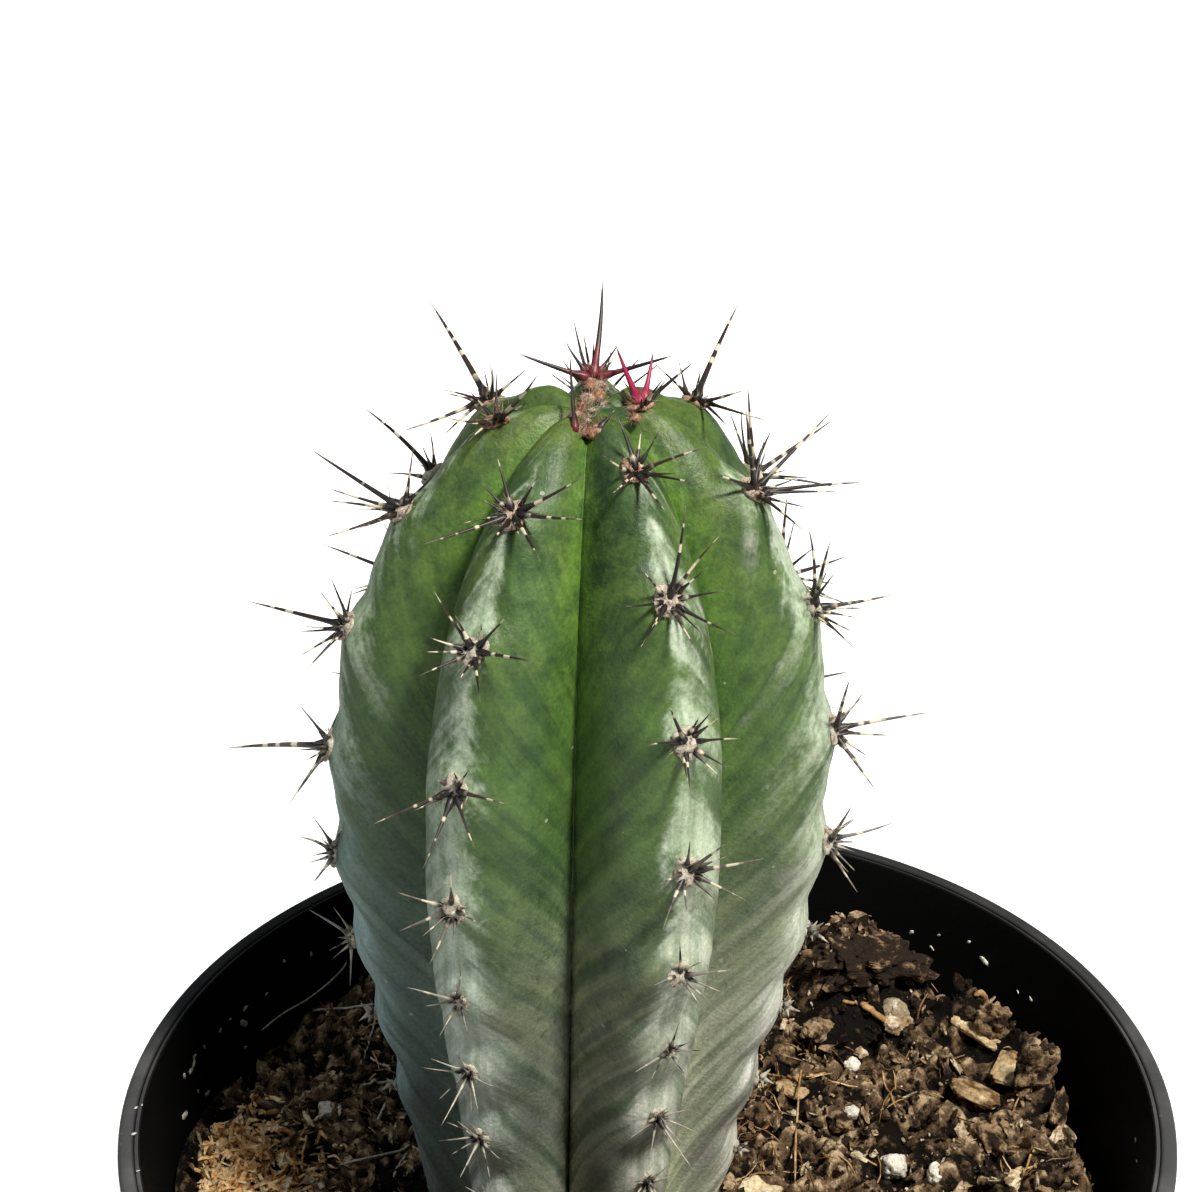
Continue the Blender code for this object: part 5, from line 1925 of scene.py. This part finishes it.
def makeGrains(perlite, bark):
    # Perlite: a ball with knobs and pits. Bark: a flat slab with splintered ends and layered faces
    ball, ballFaces = ballShape(3)
    middle, strength, *pattern = grains["knobs"]
    pitDepth, pitSize, start, change = grains["pits"]
    for number, (x, y, size) in enumerate(grains["perlite"], 1):
        half = np.array(grains["shares"]) * size
        bumps = middle + strength * roughNoise(ball + number * 7, *pattern, number)
        pits = pitDepth * easeFrom(noise(ball + number * 3, pitSize, 60 + number), start, change)
        shape = ball * (bumps - pits)[:, None] * half
        shape = layInSoil(shape, half, x, y, 360 * scatter(number, 4), grains["tilt"])
        name = f"perlite_{number:02d}"
        tone = grains["perliteTone"] * scatter(number, 2) + grains["greyOnes"].get(number, 0)
        newPiece(name + "_rough", shape, [ballFaces], perlite, [name],
                 {"tone": np.full(len(shape), tone)}, sharp=grains["sharp"][0])
    tear, tearStretch, *tearPattern = grains["ragged"]
    layer, layerStretch, *layerPattern = grains["layers"]
    ownTone, lowest, mottling = grains["barkTone"]
    for number, (x, y, long, wide, turn, tilt) in enumerate(grains["bark"], 1):
        half = np.array([long / 2, wide / 2, grains["barkThickness"]])
        ragged = 1 - tear * (1 + roughNoise(ball * tearStretch + number * 5, *tearPattern, 70 + number))
        flat = np.stack([ragged, ragged, grains["barkFlatness"] * ragged], axis=-1)
        shape = boxed(ball, grains["boxiness"]) * flat * half
        layers = roughNoise(shape * layerStretch + number * 9, *layerPattern, 80 + number)
        shape = layInSoil(shape + layer * layers[:, None] * unit(ball), half, x, y, turn, tilt)
        name = f"bark_{number:02d}"
        tones = ownTone * scatter(number, 6) + lowest + mottling * roughNoise(shape, 1.4, 2, 99)
        newPiece(name + "_rough", shape, [ballFaces], bark, [name], {"tone": tones},
                 sharp=grains["sharp"][1])


# Pot

def potProfile():
    # Half section from under the middle, round the foot, up the wall, over the lip and down inside
    base, foot, rim, outer = pot["baseRadius"], pot["foot"], potHeight, rimRadius
    floorUnder, floorTop = pot["floor"]
    collarHeight, collarIn = pot["collar"]
    collar = rim - collarHeight

    def wallAt(height, out=0):
        return (innerWall(height) + out, height)

    start = [(0, floorUnder), (base - foot - 0.4, floorUnder), (base - foot, floorUnder - 0.4),
             (base - foot, 0.3), (base - foot + 0.3, 0), (base - 0.5, 0), (base - 0.15, 0.15),
             wallAt(0.55, 1)]
    side = [wallAt(height, 1) for height in np.linspace(8, collar - 0.6, 9)] + [wallAt(collar - 0.2, 1)]
    lowCollar = [(collarIn, collar), (collarIn + 0.25, collar - 0.12)]
    # Steps in from the outer edge, and up from the collar's lower edge or down from the rim
    lowCollar += [(outer - stepIn, collar + up) for stepIn, up in ((0.75, -0.1), (0.5, 0.2))]
    lip = [(outer - stepIn, rim - down) for stepIn, down in (
        (0, 0.9), (0.05, 0.5), (0.2, 0.2), (0.45, 0.04), (0.8, 0), (1.3, 0.03), (1.65, 0.12), (1.78, 0.22),
        (1.92, 0.12), (2.15, 0.06), (2.32, 0.16), (2.4, 0.4))]
    inside = [wallAt(height) for height in np.linspace(rim - 2, 4.4, 11)]
    end = [(innerWall(height) - stepIn, up) for height, stepIn, up in (
        (4, 0.1, 3.6), (3, 0.5, 2.9), (2.6, 1.3, floorTop))]
    return start + side + lowCollar + lip + inside + end + [(0, floorTop)]


def cutHoles(piece):
    # Drain holes cut with round bars by a Boolean that is applied at once
    count, radius, circle = pot["holes"]
    sides, long, middle = pot["cutter"]
    for hole in range(count):
        turn = (hole + 0.5) * 2 * math.pi / count
        place = (circle * mm * math.sin(turn), -circle * mm * math.cos(turn), middle * mm)
        bpy.ops.mesh.primitive_cylinder_add(vertices=sides, radius=radius * mm, depth=long * mm,
                                            location=place)
        bar = bpy.context.object
        cut = piece.modifiers.new("hole", "BOOLEAN")
        cut.operation = "DIFFERENCE"
        cut.solver = "EXACT"
        cut.object = bar
        bpy.context.view_layer.update()
        whole = piece.data
        made = bpy.data.meshes.new_from_object(piece.evaluated_get(bpy.context.evaluated_depsgraph_get()))
        piece.modifiers.remove(cut)
        piece.data = made
        bpy.data.meshes.remove(whole)
        bpy.data.meshes.remove(bar.data)
    piece.data.name = piece.name


def makePot(material):
    # The half section carried round the middle
    profile = np.array(potProfile())
    middle, line, end = profile[0], profile[1:-1], profile[-1]
    turns = roundTurns(pot["sides"])
    grid = np.stack([line[:, :1] * np.sin(turns), -line[:, :1] * np.cos(turns),
                     line[:, 1:] + 0 * turns], axis=-1)
    points, faces = closedRows(grid, (0, 0, middle[1]), (0, 0, end[1]))
    cutHoles(newPiece("pot_moulding", points, faces, material, ["pot"], sharp=pot["sharp"]))


# Floor and light

studio = {
    # Soft lights: name, place and size in metres, watts and colour
    "lights": (
        ("key", (0.327, -0.327, 0.84), 0.14, 11.8, (1, 0.97, 0.91)),
        ("fill", (-0.84, -0.17, 0.25), 0.5, 0.5, (0.72, 0.86, 1)),
        ("over", (-0.42, -0.05, 0.86), 0.5, 1.45, (0.9, 0.96, 1)),
        ("back", (0, 0.75, 0.6), 0.2, 3, (1, 1, 1))),
    "backSpread": 92,
    "aim": (0, 0, 0.1),
    "world": (0.95, 0.98, 1),
    "worldStrength": 0.05,
    "floorSide": 8,
    "paper": (0.94, 0.94, 0.94),
    "paperRoughness": 0.9,
    # How pale the paper stays where little light reaches it
    "paleness": 0.45,
}


def makeStudio():
    # A wide white floor, soft lights and an even pale sky
    bpy.ops.mesh.primitive_plane_add(size=studio["floorSide"])
    floor = bpy.context.object
    floor.name = "floor"
    paper, shader = newFinish("floor_paper")
    finishSurface(shader, studio["paper"], studio["paperRoughness"])
    seen = put("LightPath").outputs["Is Camera Ray"]
    join(shader.inputs["Emission Strength"], times(seen, studio["paleness"]))
    join(shader.inputs["Emission Color"], (1, 1, 1))
    floor.data.materials.append(paper)
    for name, place, size, watts, colour in studio["lights"]:
        data = bpy.data.lights.new(name, "AREA")
        data.shape = "DISK"
        data.size = size
        data.energy = watts
        data.color = colour
        lamp = bpy.data.objects.new(name, data)
        bpy.context.scene.collection.objects.link(lamp)
        lamp.location = place
        if name == "back":
            data.spread = math.radians(studio["backSpread"])
        else:
            lamp.rotation_euler = (Vector(studio["aim"]) - Vector(place)).to_track_quat("-Z", "Y").to_euler()
    world = bpy.data.worlds.new("studio")
    world.use_nodes = True
    sky = world.node_tree.nodes["Background"]
    join(sky.inputs["Color"], studio["world"])
    join(sky.inputs["Strength"], studio["worldStrength"])
    bpy.context.scene.world = world
    bpy.context.scene.view_settings.view_transform = "Standard"


# Build

random = np.random.default_rng(7)
skinLook = makeSkin()
spineLook = makeSpineLook()
feltLook = makeFeltLook()
peatLook, crumbLook, fibreLook, coirLook, rootLook, perliteLook, barkLook = (
    makeEarthLook(name) for name in earthLooks["kinds"])
plasticLook = makePlastic()
makeStem(skinLook)
makePads(feltLook)
makeHairs(feltLook, random)
makeSpines(spineLook, random)
makeCrownWool(feltLook, random)
makeSoil(peatLook)
makeFragments(crumbLook, random)
makeFibres({"coir": coirLook, "fibres": fibreLook, "roots": rootLook, "stalks": fibreLook}, random)
makeGrains(perliteLook, barkLook)
makeClods("peat", "clods", crumbLook)
makeClods("bark", "chips", barkLook)
makeSpecks("wall", "wall_bits", perliteLook, random)
makeSpecks("rim", "rim_bits", perliteLook, random)
makePot(plasticLook)
makeStudio()
